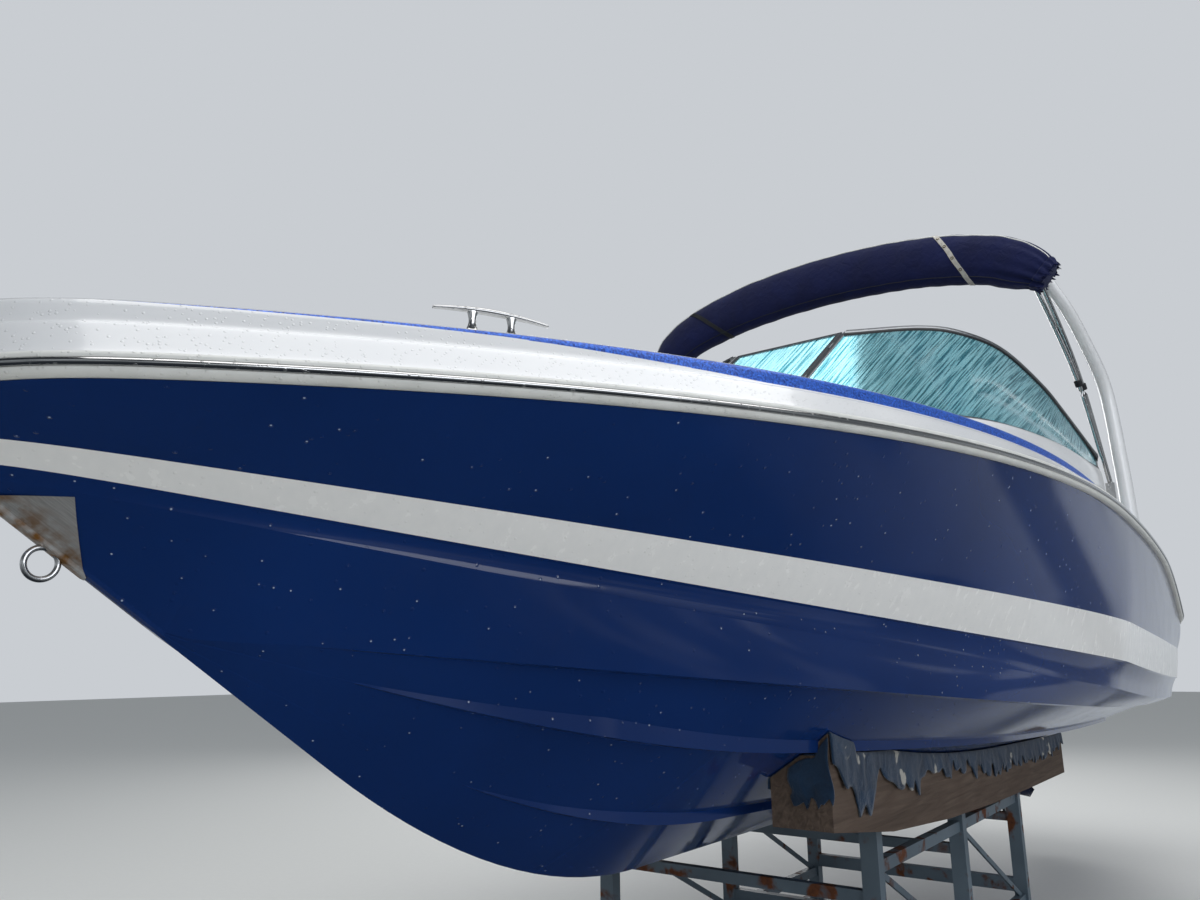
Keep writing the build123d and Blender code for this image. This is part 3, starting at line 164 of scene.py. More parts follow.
def placed(name, mesh, crease=30):
    """Merges doubled points, turns a closed shell's faces outward, shades smooth between creases and
    adds the piece at the origin."""
    work = bmesh.new()
    work.from_mesh(mesh)
    bmesh.ops.remove_doubles(work, verts=work.verts, dist=2e-5)
    bmesh.ops.dissolve_degenerate(work, dist=1e-6, edges=work.edges)
    if all(len(edge.link_faces) == 2 for edge in work.edges):
        bmesh.ops.recalc_face_normals(work, faces=work.faces)
    work.to_mesh(mesh)
    work.free()
    mesh.polygons.foreach_set("use_smooth", [True] * len(mesh.polygons))
    mesh.set_sharp_from_angle(angle=radians(crease))
    return shown(name, mesh)


def shown(name, data):
    """A new object of that data, linked into the scene."""
    made = bpy.data.objects.new(name, data)
    bpy.context.scene.collection.objects.link(made)
    return made


def linear(code):
    """An sRGB hex colour as linear red, green, blue and alpha."""
    srgb = np.array([int(code[i : i + 2], 16) for i in (1, 3, 5)]) / 255
    flat = np.where(srgb <= 0.04045, srgb / 12.92, ((srgb + 0.055) / 1.055) ** 2.4)
    return (*[float(c) for c in flat], 1.0)


def add(tree, kind, given, out=0, into=None):
    """Adds a node and gives its output. A given entry in lower case is a setting; any other is an
    input's value, or the socket to link to it. Into names an input of the shader for the output."""
    made = tree.nodes.new("ShaderNode" + kind)
    for key, value in given.items():
        if isinstance(key, str) and key.islower():
            setattr(made, key, value)
        elif isinstance(value, bpy.types.NodeSocket):
            tree.links.new(value, made.inputs[key])
        else:
            made.inputs[key].default_value = value
    if into:
        tree.links.new(made.outputs[out], tree.nodes["Principled BSDF"].inputs[into])
    return made.outputs[out]


def shaded(tree, pattern, dark, light, dull=None, span=None):
    """Colours the shader from dark to light as a pattern goes from 0 to 1, or over a span of it, and
    takes its roughness from the first to the second value of dull. Gives the colour."""
    share = pattern
    if span:
        share = add(tree, "MapRange", {"Value": pattern, "From Min": span[0], "From Max": span[1]})
    ends = [linear(tone) if isinstance(tone, str) else tone for tone in (dark, light)]
    if dull:
        add(tree, "MapRange", {"Value": pattern, "To Min": dull[0], "To Max": dull[1]}, 0, "Roughness")
    return add(tree, "Mix", {"data_type": "RGBA", 0: share, 6: ends[0], 7: ends[1]}, 2, "Base Color")


def material(name, sockets, cloud=None, *tones, **how):
    """A new material with values set on its shader's own sockets. A cloud, which is a noise given by
    scale and detail, shades it. Gives the material, its tree, the object's coordinates and the noise."""
    made = bpy.data.materials.new(name)
    made.use_nodes = True
    tree = made.node_tree
    for key, value in sockets.items():
        tree.nodes["Principled BSDF"].inputs[key].default_value = value
    place = add(tree, "TexCoord", {}, 3)
    if cloud:
        cloud = add(tree, "TexNoise", {"Scale": cloud[0], "Detail": cloud[1], "Vector": place})
        shaded(tree, cloud, *tones, **how)
    return made, tree, place, cloud


def rain_beads(tree, millimetres, cover, vector):
    """Height of standing drops: a round cap about each cell's point, on a share of the cells."""
    cells = {"Scale": 1000 / millimetres, "Vector": vector}
    near = add(tree, "TexVoronoi", cells, 0)
    pick = add(tree, "TexVoronoi", cells, 1)
    chosen = add(tree, "MapRange", {"Value": pick, "From Min": cover, "From Max": cover - 0.02})
    cap = add(tree, "MapRange", {"Value": near, "From Min": 0.36, "From Max": 0.02})
    cap = add(tree, "Math", {"operation": "POWER", 0: cap, 1: 0.5})
    return add(tree, "Math", {"operation": "MULTIPLY", 0: cap, 1: chosen})


def paint(made, *names):
    """Gives carried-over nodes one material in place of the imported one."""
    for name in names:
        slots = NODES[name].data.materials
        slots.clear()
        slots.append(made)


# polished gelcoat: a hard clear gloss over solid navy, with a thin dried film that dulls it in
# clouds, faint run marks down the side and a few standing drops, each with a painted highlight in it
navy, tree, place, _ = material("navy_gelcoat", {"IOR": 1.5})
cloud = add(tree, "TexNoise", {"Scale": 1.2, "Detail": 3.0, "Vector": place})
drops = rain_beads(tree, 13, 0.17, place)
# the pale tone mixed into the middle of each drop is a painted highlight, the glint of the light painted
# into the colour
shaded(tree, drops, shaded(tree, cloud, "#0b2350", "#13326c"), "#a9b6c8", span=(0.70, 0.95))
runs = add(tree, "Mapping", {"Vector": place, "Scale": (60.0, 60.0, 2.5)})
runs = add(tree, "TexNoise", {"Scale": 1.0, "Detail": 4.0, "Vector": runs})
film = add(tree, "TexNoise", {"Scale": 7.0, "Detail": 5.0, "Vector": place})
film = add(tree, "Math", {"operation": "MULTIPLY", 0: film, 1: runs})
dull = {"Value": film, "From Min": 0.15, "From Max": 0.5, "To Min": 0.05, "To Max": 0.17}
add(tree, "MapRange", dull, 0, "Roughness")
add(tree, "Bump", {"Height": drops, "Distance": 0.0012}, 0, "Normal")

# the band's gelcoat: pale warm grey, a little chalked, with grime drawn down from the crease
grey, tree, place, _ = material("grey_gelcoat", {"IOR": 1.5, "Coat Weight": 0.3, "Coat Roughness": 0.1})
runs = add(tree, "Mapping", {"Vector": place, "Scale": (40.0, 40.0, 3.0)})
grime = add(tree, "TexNoise", {"Scale": 1.0, "Detail": 4.0, "Vector": runs})
shaded(tree, grime, "#e0e0de", "#ecebe8", (0.16, 0.34))
add(tree, "Bump", {"Height": rain_beads(tree, 9, 0.22, place), "Distance": 0.0007}, 0, "Normal")

STERN_RUN = STERN_CORNER * (1 - np.cos(np.linspace(0, pi / 2, 15)))
BOW_FROM = 5.7
LONG_RUN = np.linspace(STERN_CORNER, BOW_FROM, 76)[1:]
BOW_RUN = BOW_END - (BOW_END - BOW_FROM) * np.linspace(1, 0, 44)[1:] ** 2

run = np.concatenate([[TRANSOM], LONG_RUN[LONG_RUN > TRANSOM], BOW_RUN])
lines = hull_lines(run)
chine_up = panel_rows(lines[8], lines[9], 6, 0.006)[1:] + [lines[9]]
under = [skin(run, lines[:8], 0.0004, SKIN_PROUD), skin(run, lines[8:9], 0.0012, 0.0006)]
under = closed_at_stem(np.concatenate([*under, skin(run, chine_up, SKIN_PROUD)]))
under = np.vstack([under[:0:-1] * [1, -1, 1], under])
bottom = sheet_mesh("hull_bottom", under, [navy], flip=True, crease=9)
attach(bottom, "boat")
SKINS = [bottom]

run = np.concatenate([STERN_RUN, LONG_RUN, BOW_RUN])
spray, step, foot, top, rail = hull_lines(run)[9:]
rows = panel_rows(spray, step, 8, -0.007) + [step] + panel_rows(foot, top, 5, 0.002)
rows += panel_rows(top, rail, 12, 0.010) + [rail]
side = skin(run, rows, SKIN_PROUD)
aft = np.repeat(side[:, :1], 4, 1)
aft[:, :, 1] = WING_IN + (aft[:, :, 1] - WING_IN) * np.array([0, 0.33, 0.67, 0.97])
side = closed_at_stem(np.concatenate([aft, side], 1))
bands = [0] * 9 + [1] * 5 + [0] * 12
SIDES = (("port", 1), ("starboard", -1))
for tag, sign in SIDES:
    wall = side * [1, sign, 1]
    wall = sheet_mesh(f"hull_side_{tag}", wall, [navy, grey], bands, flip=sign > 0, crease=9)
    SKINS.append(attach(wall, "boat"))


def kept_faces(name, node, stays, made):
    """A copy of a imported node, merged, with only the faces that a test on their middles and facings
    keeps, in place of the node."""
    mesh = NODES[node].data.copy()
    work = bmesh.new()
    work.from_mesh(mesh)
    bmesh.ops.remove_doubles(work, verts=work.verts, dist=1e-5)
    middle = np.array([face.calc_center_median()[:] for face in work.faces])
    facing = np.array([face.normal[:] for face in work.faces])
    kept = stays(middle, facing)
    bmesh.ops.delete(work, geom=[face for face, ok in zip(work.faces, kept) if not ok], context="FACES")
    work.to_mesh(mesh)
    work.free()
    mesh.materials.clear()
    mesh.materials.append(made)
    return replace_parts(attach(shown(name, mesh), "boat"), node)


def faces_of(made):
    """A search tree over the faces of an object's mesh."""
    mesh = made.data
    return BVHTree.FromPolygons([v.co for v in mesh.vertices], [tuple(f.vertices) for f in mesh.polygons])


def under_skin(middle, facing):
    """False for packed faces that lie within 25 mm of the skin and run along with it."""
    trees = [faces_of(made) for made in SKINS]
    apart = np.array([min(tree.find_nearest(point)[3] for tree in trees) for point in middle])
    x = middle[:, 0] + MID
    across = (np.abs(facing[:, 0]) > 0.95) & (x > 0.01)
    shelf = (facing[:, 2] < -0.9) & (x < TRANSOM)
    return (apart > NEAR_SKIN) | across | shelf


# what the skin leaves open stays as packed: transom, tunnel, platform recess, engine bay and wells
kept_faces("hull_inner", "hull", under_skin, navy)

# Deck: one white glass fibre moulding that meets the hull at the rail. Its flank steps in over a
# ledge to a slope with a stripe of blue metal flake that thins toward the bow. This flank follows
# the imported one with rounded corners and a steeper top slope; crown and openings stay as packed.
DECK_EDGE = ((0.006, 0.030), (0.006, 0.042), (0.024, 0.050), (0.056, 0.104), (0.067, 0.109))
DECK_EDGE += ((0.078, 0.149), (0.112, 0.158), (0.176, 0.166), (0.190, 0.167))
CORNER_SHARE, RECESS_HALF, RECESS_LONG, FLANK_WIDE, FULL_HALF = 0.3, 0.850, 0.760, 0.178, 0.26
FLAKE_FROM, FLAKE_THIN, FLAKE_TO = 0.1125, 0.1395, 0.1485
FLAKE_FULL, FLAKE_SLIM, FLAKE_END = 5.55, 6.15, 6.75


def rounded(corners, share, steps):
    """A polyline with its corners rounded: each becomes a quadratic curve whose ends lie that share
    of the way along the two sides."""
    corners = np.asarray(corners, float)
    before = corners[1:-1] + (corners[:-2] - corners[1:-1]) * share
    after = corners[1:-1] + (corners[2:] - corners[1:-1]) * share
    t = np.linspace(0, 1, steps)[None, :, None]
    curves = (1 - t) ** 2 * before[:, None] + 2 * t * (1 - t) * corners[1:-1, None] + t**2 * after[:, None]
    return np.vstack([corners[:1], curves.reshape(-1, corners.shape[1]), corners[-1:]])


# white gelcoat: hard and bright, slightly warm, rained on, so fine drops stand on it
glossy = {"IOR": 1.5, "Coat Weight": 0.5, "Coat Roughness": 0.04}
white, tree, place, _ = material("white_gelcoat", glossy, (2.5, 5.0), "#d8dadd", "#e6e6e5", (0.10, 0.28))
add(tree, "Bump", {"Height": rain_beads(tree, 7, 0.35, place), "Distance": 0.0009}, 0, "Normal")

# metal flake: fine bright blue flakes at all angles under clear gelcoat, so it glitters; the grit
# is drawn at 3.5 mm, many times the real size, so that it shows
sparkling = {"Metallic": 0.3, "Roughness": 0.4, "Coat Weight": 0.1, "Coat Roughness": 0.05}
flake, tree, place, _ = material("blue_metal_flake", {**sparkling, "Specular IOR Level": 0.25})
grit = add(tree, "TexVoronoi", {"Scale": 280.0, "Vector": place}, 1)
shaded(tree, grit, "#04185f", "#3f7cf0")
add(tree, "Bump", {"Height": grit, "Distance": 0.0005}, 0, "Normal")

profile = rounded(DECK_EDGE, CORNER_SHARE, 6)
half = breadth("rail", run)
squeeze = np.minimum(1, half / FULL_HALF)
room = np.where(run < RECESS_LONG, (half - RECESS_HALF) / squeeze, 1.0)
stripe_foot = np.interp(run, [FLAKE_FULL, FLAKE_SLIM, FLAKE_END], [FLAKE_FROM, FLAKE_THIN, FLAKE_TO])
edges = np.stack([stripe_foot, np.full(len(run), FLAKE_TO)])
rise = np.sort(np.vstack([profile[:, 1:] * np.ones(len(run)), edges]), 0)
wanted = np.interp(rise, profile[:, 1], profile[:, 0])
inboard = np.clip(np.minimum(wanted, room), 0, None)
rise = np.where(inboard < wanted, np.interp(inboard, profile[:, 0], profile[:, 1]), rise)
y = np.maximum(half - inboard * squeeze, 0.0)
flank = np.stack([run - MID + 0 * y, y, level("rail", run) + rise + KEEL], -1)
lift = (rise[:-1, :-1] + rise[:-1, 1:] + rise[1:, :-1] + rise[1:, 1:]) / 4
above = (stripe_foot[:-1] + stripe_foot[1:]) / 2
bands = np.pad((lift > above) & (lift < FLAKE_TO), ((0, 0), (0, 4))).astype(int)
for tag, sign in SIDES:
    edge = closed_at_stem(flank) * [1, sign, 1]
    made = sheet_mesh(f"deck_flank_{tag}", edge, [white, flake], bands, flip=sign > 0, crease=40)
    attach(made, "boat")


def off_flank(middle, facing):
    """True away from the rounded flank: inboard of it, or on a wall or underside."""
    x, y = middle[:, 0] + MID, np.abs(middle[:, 1])
    beside = y > breadth("rail", x) - FLANK_WIDE * np.minimum(1, breadth("rail", x) / FULL_HALF)
    wall = (np.abs(facing[:, 1]) > 0.999) & (x < RECESS_LONG)
    return ~beside | wall | (facing[:, 2] < -0.5)


kept_faces("deck_crown", "deck", off_flank, white)
paint(white, "cockpit_liner")

# Swim platform: a moulded non-slip panel let into the stern, grey, with a diamond tread
matt = {"Roughness": 0.6, "IOR": 1.5}
tread, tree, place, _ = material("non_slip_gelcoat", matt, (9.0, 6.0), "#b9bab8", "#d2d2ce")
turned = {"Vector": place, "Rotation": (0.0, 0.0, pi / 4), "Scale": (125.0, 125.0, 0.0)}
cell = {"Scale": 1.0, "Randomness": 0.0, "Vector": add(tree, "Mapping", turned)}
stud = {"Value": add(tree, "TexVoronoi", cell), "From Min": 0.45, "From Max": 0.3}
add(tree, "Bump", {"Height": add(tree, "MapRange", stud), "Distance": 0.001}, 0, "Normal")
paint(tread, "swim_platform")

# Rub rail: an extruded off-white vinyl section screwed over the joint of hull and deck, with a
# bright stainless half round let into its groove. Both run round the bow in one length.
RAIL_SECTION = ((0.0, 0.001), (0.012, 0.0005), (0.019, 0.003), (0.0235, 0.009), (0.0235, 0.0125))
RAIL_SECTION += ((0.022, 0.013), (0.022, 0.0268), (0.0235, 0.0275), (0.0235, 0.032), (0.020, 0.0375))
RAIL_SECTION += ((0.012, 0.0395), (0.0, 0.0395))
INSERT_SECTION = ((0.0215, 0.0135), (0.027, 0.0145), (0.0298, 0.0175), (0.0303, 0.020), (0.0298, 0.0225))
INSERT_SECTION += ((0.027, 0.0255), (0.0215, 0.0265))

# extruded vinyl: satin, off-white gone slightly yellow, with dirt in patches and beads of rain
looks = ("extruded_vinyl", {"IOR": 1.48}, (14.0, 6.0), "#c4c5c0", "#e3e3df", (0.28, 0.45))
vinyl, tree, place, _ = material(*looks)
add(tree, "Bump", {"Height": rain_beads(tree, 7, 0.35, place), "Distance": 0.0013}, 0, "Normal")

# polished stainless: a mirror with fine scratches, smears and water beads
steel, tree, place, _ = material("polished_stainless", {"Metallic": 1.0, "Base Color": linear("#c9c9c8")})
brushed = add(tree, "TexNoise", {"Scale": 220.0, "Detail": 3.0, "Vector": place})
smear = add(tree, "TexNoise", {"Scale": 16.0, "Detail": 4.0, "Vector": place})
add(tree, "MapRange", {"Value": smear, "To Min": 0.06, "To Max": 0.2}, 0, "Roughness")
height = {"operation": "MULTIPLY_ADD", 0: brushed, 1: 0.02, 2: rain_beads(tree, 8, 0.3, place)}
add(tree, "Bump", {"Height": add(tree, "Math", height), "Distance": 0.001}, 0, "Normal")


def moulding(name, section, made, node):
    """A section of (outward, up) carried along the rail from the port quarter round the bow."""
    section = np.array(section)
    out, up = section[:, 0][:, None], section[:, 1][:, None]
    nx, ny = plan_normal(run)
    x, y = run - MID + out * nx, breadth("rail", run) + out * ny
    port = np.stack([x, y, level("rail", run) + up + KEEL], -1)
    nose = port[:, -1:, :] * np.ones((1, 8, 1))
    nose[:, :, 1] = port[:, -1:, 1] * (1 - np.linspace(0, 1, 9)[1:])
    port = np.concatenate([port, nose], 1)
    whole = np.concatenate([port, port[:, -2::-1] * [1, -1, 1]], 1)
    piece = sheet_mesh(name, whole, [made], flip=True, crease=50)
    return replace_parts(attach(piece, "boat"), node)


moulding("rail_vinyl", RAIL_SECTION, vinyl, "rub_rail")
moulding("rail_bright_insert", INSERT_SECTION, steel, "rail_insert")

# Boarding ladder, its lugs and the hatch's hinges: bent and welded stainless tube and strip
paint(steel, "hatch_hinges", "ladder_lugs", "boarding_ladder")

# Stem fittings: a scuff plate of brushed sheet folded over the stem, and a towing eye welded from
# round bar through it

# brushed stainless: fine scratches that run up the stem, dulled by ropes, with a brown rust stain
# that bleeds up from its lower edge
brushed_steel, tree, place, _ = material("brushed_stainless", {"Metallic": 0.7})
up_stem = {"vector_type": "TEXTURE", "Vector": place, "Rotation": (0.0, 0.97, 0.0)}
up_stem = add(tree, "Mapping", {**up_stem, "Scale": (0.003, 0.003, 0.08)})
grain = add(tree, "TexNoise", {"Scale": 1.0, "Detail": 5.0, "Vector": up_stem})
ON_STEM, STAIN_TALL, PLATE_EDGE = 6.6, 0.042, 0.004
stem_line = float(stem(ON_STEM)) + KEEL - STEM_SLOPE * (ON_STEM - MID)
over_stem = add(tree, "VectorMath", {"operation": "DOT_PRODUCT", 0: place, 1: (-STEM_SLOPE, 0.0, 1.0)}, 1)
near_edge = {"Value": over_stem, "From Min": stem_line + STAIN_TALL, "From Max": stem_line + PLATE_EDGE}
blotch = add(tree, "TexNoise", {"Scale": 34.0, "Detail": 6.0, "Vector": place})
blotch = add(tree, "MapRange", {"Value": blotch, "From Min": 0.38, "From Max": 0.6})
rusty = add(tree, "Math", {"operation": "MULTIPLY", 0: add(tree, "MapRange", near_edge), 1: blotch})
shaded(tree, rusty, shaded(tree, grain, "#a8a6a2", "#f8f6f2", (0.26, 0.46)), "#a0703a")
add(tree, "Bump", {"Height": grain, "Distance": 0.0004}, 0, "Normal")
paint(brushed_steel, "scuff_plate")
EYE_RING, EYE_BAR, EYE_STATION, EYE_DROP = 0.028, 0.0054, LENGTH - 0.270, 0.032
around, across = np.meshgrid(np.linspace(0, 2 * pi, 49)[:-1], np.linspace(0, 2 * pi, 17), indexing="ij")
reach = EYE_RING + EYE_BAR * np.cos(across)
height = stem(EYE_STATION) - EYE_DROP + KEEL
x, z = EYE_STATION - MID + reach * np.cos(around), height + reach * np.sin(around)
torus = np.stack([x, EYE_BAR * np.sin(across), z], -1)
eye = sheet_mesh("towing_eye", torus, [steel], ring=True, flip=True)
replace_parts(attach(eye, "boat"), "bow_eye")

# Windshield: curved tinted safety glass in a rounded aluminium frame with a black rubber seal, on
# a white coaming that rises from the deck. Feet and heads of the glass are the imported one's rows,
# with smooth curves through them.
SHIELD = (
    (4.430, 0.300, 1.430, 3.490, 0.300, 2.110),
    (4.420, 0.560, 1.432, 3.320, 0.575, 2.120),
    (4.370, 0.760, 1.438, 3.190, 0.728, 2.100),
    (4.200, 0.920, 1.448, 2.980, 0.853, 2.050),
    (3.850, 1.020, 1.470, 2.700, 0.953, 1.930),
    (3.250, 1.088, 1.500, 2.560, 1.020, 1.800),
    (2.450, 1.118, 1.530, 2.400, 1.112, 1.600),
)
GLASS, FRAME_HALF, FRAME_TALL, SEAL, COAMING_HALF = 0.006, 0.012, 0.024, 0.010, 0.023
COAMING_FLARE, DECK_RISE, DECK_IN, NUT_LIFT = 0.030, 0.104, 0.119, 0.019


def unit(rows):
    """Rows of vectors, each divided by its own length."""
    return rows / np.linalg.norm(rows, axis=-1, keepdims=True)


def eased(rows, steps):
    """Rows with steps - 1 more between each two, all on one Catmull-Rom curve through the given
    ones: b + t/2 (c - a + t (2a - 5b + 4c - d + t (3b - 3c + d - a)))."""
    rows = np.asarray(rows, float)
    held = np.vstack([2 * rows[0] - rows[1], rows, 2 * rows[-1] - rows[-2]])
    a, b, c, d = (held[k : len(held) - 3 + k, None] for k in range(4))
    t = np.linspace(0, 1, steps + 1)[None, :-1, None]
    curve = b + t / 2 * (c - a + t * (2 * a - 5 * b + 4 * c - d + t * (3 * b - 3 * c + d - a)))
    return np.vstack([curve.reshape(-1, rows.shape[1]), rows[-1]])


def swept(path, across, over, section):
    """A closed section of (across, over) carried along a path with those two directions at each of
    its points: rows run round the section, columns along the path."""
    section = np.asarray(section, float)
    return path[None] + section[:, :1, None] * across[None] + section[:, 1:, None] * over[None]


def bar(name, grid, made, body="boat", crease=35, marks=None):
    """A solid bar from a grid whose rows run round its section, its ends closed by flat fans."""
    middle = np.repeat(grid.mean(0, keepdims=True), len(grid), 0)
    closed = np.concatenate([middle[:, :1], grid, middle[:, -1:]], 1)
    if marks is not None:
        marks = np.concatenate([marks[:, :1], marks, marks[:, -1:]], 1)
    made = sheet_mesh(name, closed, [made], ring=True, crease=crease, marks=marks)
    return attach(made, body)


def lathed(name, centre, axis, rows, made, body="boat", count=40, crease=40):
    """Rows of radius and height turned about an axis through a centre, closed at both poles."""
    axis = unit(np.array(axis, float))
    first = unit(np.cross(axis, [0, 0, 1] if abs(axis[2]) < 0.9 else [1, 0, 0]))
    second = np.cross(axis, first)
    radius, height = np.array([(0, rows[0][1]), *rows, (0, rows[-1][1])]).T
    angle = np.linspace(0, 2 * pi, count + 1)[:-1][:, None, None]
    out = first * np.cos(angle) + second * np.sin(angle)
    grid = centre + out * radius[:, None] + axis * height[:, None]
    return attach(sheet_mesh(name, grid, [made], ring=True, crease=crease), body)


# tinted safety glass: green-blue through its thickness, with fine darker runs of rain down the
# slope of each pane that smear it a little rough
clear = {"Transmission Weight": 0.72, "IOR": 1.5, "Specular IOR Level": 0.2}
glass, tree, place, _ = material("tinted_safety_glass", clear)
run_down = add(tree, "Attribute", {"attribute_name": "run"}, 1)
run_down = add(tree, "VectorMath", {"operation": "ADD", 0: run_down, 1: place})
run_down = add(tree, "Mapping", {"Vector": run_down, "Scale": (0.0, 60.0, 2.6)})
streak = add(tree, "TexNoise", {"Scale": 1.0, "Detail": 4.0, "Distortion": 0.25, "Vector": run_down})
shaded(tree, streak, "#4795a4", "#b6eff8", span=(0.40, 0.54))
dull = {"Value": streak, "From Min": 0.3, "From Max": 0.75, "To Min": 0.02, "To Max": 0.14}
add(tree, "MapRange", dull, 0, "Roughness")

# anodised aluminium: a dull silver, mottled by dried water spots
looks = ("anodised_aluminium", {"Metallic": 1.0}, (60.0, 5.0), "#74777b", "#a4a7aa", (0.28, 0.46))
anodised, tree, _, spots = material(*looks)
add(tree, "Bump", {"Height": spots, "Distance": 0.0004}, 0, "Normal")

# seal rubber: matt black, greyed in patches by weather
matt = {"Specular IOR Level": 0.4}
rubber = material("seal_rubber", matt, (45.0, 5.0), "#0c0d0f", "#22252a", (0.45, 0.75))[0]

posts = eased(SHIELD, 12)
foot, head = posts[:, :3] - [MID, 0, -KEEL], posts[:, 3:] - [MID, 0, -KEEL]
rake = unit(head - foot)
along = unit(np.gradient(foot, axis=0))
outboard = unit(np.stack([along[:, 1], -along[:, 0], 0 * along[:, 0]], -1))
square = unit(np.cross(rake, np.cross(outboard, rake)))
share = np.linspace(0, 1, 9)[:, None, None]
face = foot[None] + (head - foot)[None] * share
pane = np.concatenate([face + square * GLASS / 2, face[::-1] - square * GLASS / 2])
reach = np.append(0, np.cumsum(np.linalg.norm(np.diff(foot, axis=0), axis=1)))
rows = np.concatenate([share, share[::-1]])[:, 0] * 0.5
marks = np.stack([0 * rows * reach, reach + 0 * rows, rows + 0 * reach], -1)
seal_section = ((-0.0095, -0.001), (0.0095, -0.001), (0.008, SEAL), (0.0035, SEAL + 0.003))
seal_section += ((-0.0035, SEAL + 0.003), (-0.008, SEAL))
turn = np.linspace(0, 2 * pi, 21)[:-1]
squared = np.stack([np.cos(turn), np.sin(turn)], -1)
squared = np.sign(squared) * np.abs(squared) ** 0.6
rim_sections = {"foot": squared * [FRAME_HALF, FRAME_TALL / 2] - [0, FRAME_TALL / 2]}
rim_sections["head"] = squared * [0.014, 0.023] - [0, 0.001]
seal_sections = {"foot": np.array(seal_section), "head": np.array(seal_section) * [1.1, 1.5] + [0, 0.020]}
post_section = squared * [FRAME_HALF / 2, 0.009]
deck_line = level("rail", posts[:, 0]) + DECK_RISE + KEEL
seat = foot - rake * 0.0203
spread = np.concatenate([(seat + outboard * (COAMING_HALF + COAMING_FLARE))[:, :2], deck_line[:, None]], 1)
spread[:, 1] = np.minimum(spread[:, 1], breadth("rail", posts[:, 0]) - DECK_IN)
crest, inside = seat + outboard * COAMING_HALF - [0, 0, 0.006], seat - outboard * COAMING_HALF
t = np.linspace(0, 1, 9)[:, None, None]
swell = spread * (1 - t) ** 2 + 2 * t * (1 - t) * crest + (seat + outboard * 0.016) * t**2
floor_line = np.concatenate([inside[:, :2], deck_line[:, None]], 1)
coaming = np.concatenate([swell, (inside - [0, 0, 0.003])[None], floor_line[None]])
CAP_NUT = ((0.0065, 0.0), (0.0065, 0.004), (0.005, 0.0075), (0.0025, 0.009), (0.0, 0.0095))
for tag, sign in SIDES:
    s = np.array([1, sign, 1])
    for count, at in enumerate((20, 32, 44)):
        on_rim, up = (head[at] + rake[at] * NUT_LIFT) * s, rake[at] * s
        lathed(f"windshield_nut_{count}_{tag}", on_rim, up, CAP_NUT, anodised, count=16)
    made = bar(f"windshield_pane_{tag}", pane * s, glass, crease=60, marks=marks * s)
    rims = []
    for edge, start, up in (("foot", foot, rake), ("head", head, -rake)):
        seal, rim = (swept(start, square, up, shape[edge]) * s for shape in (seal_sections, rim_sections))
        bar(f"windshield_seal_{edge}_{tag}", seal, rubber)
        rims.append(bar(f"windshield_rim_{edge}_{tag}", rim, anodised))
    for edge, at, shift in (("walkway", 0, -0.009), ("aft", -1, 0.0)):
        reach = np.linspace(-0.02, 1.02, 2) if at == 0 else np.linspace(-0.2, 1.25, 2)
        line = foot[at] + (head[at] - foot[at]) * reach[:, None] + along[at] * shift
        over, wide = along[at] * np.ones((2, 1)), square[at] * np.ones((2, 1))
        bar(f"windshield_post_{edge}_{tag}", swept(line, wide, over, post_section) * s, anodised)
    rise = bar(f"windshield_coaming_{tag}", coaming * s, white, crease=45)
    if sign > 0:
        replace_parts(made, "windshield_glass")
        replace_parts(rims[1], "windshield_frame")
        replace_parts(rise, "windshield_coaming")
paint(anodised, "gate_frame")
paint(glass, "gate_glass")

# Mooring cleats: cast and polished, a round horn on a pair of waisted legs bolted down through the
# deck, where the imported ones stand. A white nylon stud stands just ahead of each bow cleat.
CLEATS = (("bow_cleats", LENGTH - 0.780, 0.106, -26), ("stern_cleats", 1.180, 0.150, 6))
HORN_LONG, HORN_LEVEL, HORN_DROOP, LEG_OUT, CLEAT_TALL = 0.117, 0.0485, 0.008, 0.040, 0.056
HORN = ((1.0, 0.0022, 0.0016), (0.98, 0.0048, 0.0034), (0.6, 0.0068, 0.0048), (0.0, 0.0085, 0.0065))
LEG = ((-0.012, 0.0085, 0.0165), (0.002, 0.0085, 0.0165), (0.008, 0.0066, 0.0115), (0.022, 0.0050, 0.0072))
LEG += ((0.036, 0.0058, 0.0088), (0.047, 0.0070, 0.0135))
STUD_STATION, STUD_IN = 6.34, 0.105
STUD = ((0.011, -0.004), (0.011, 0.003), (0.0095, 0.007), (0.006, 0.0095), (0.0, 0.0105))
turns = np.linspace(0, 2 * pi, 25)[:-1][:, None, None]
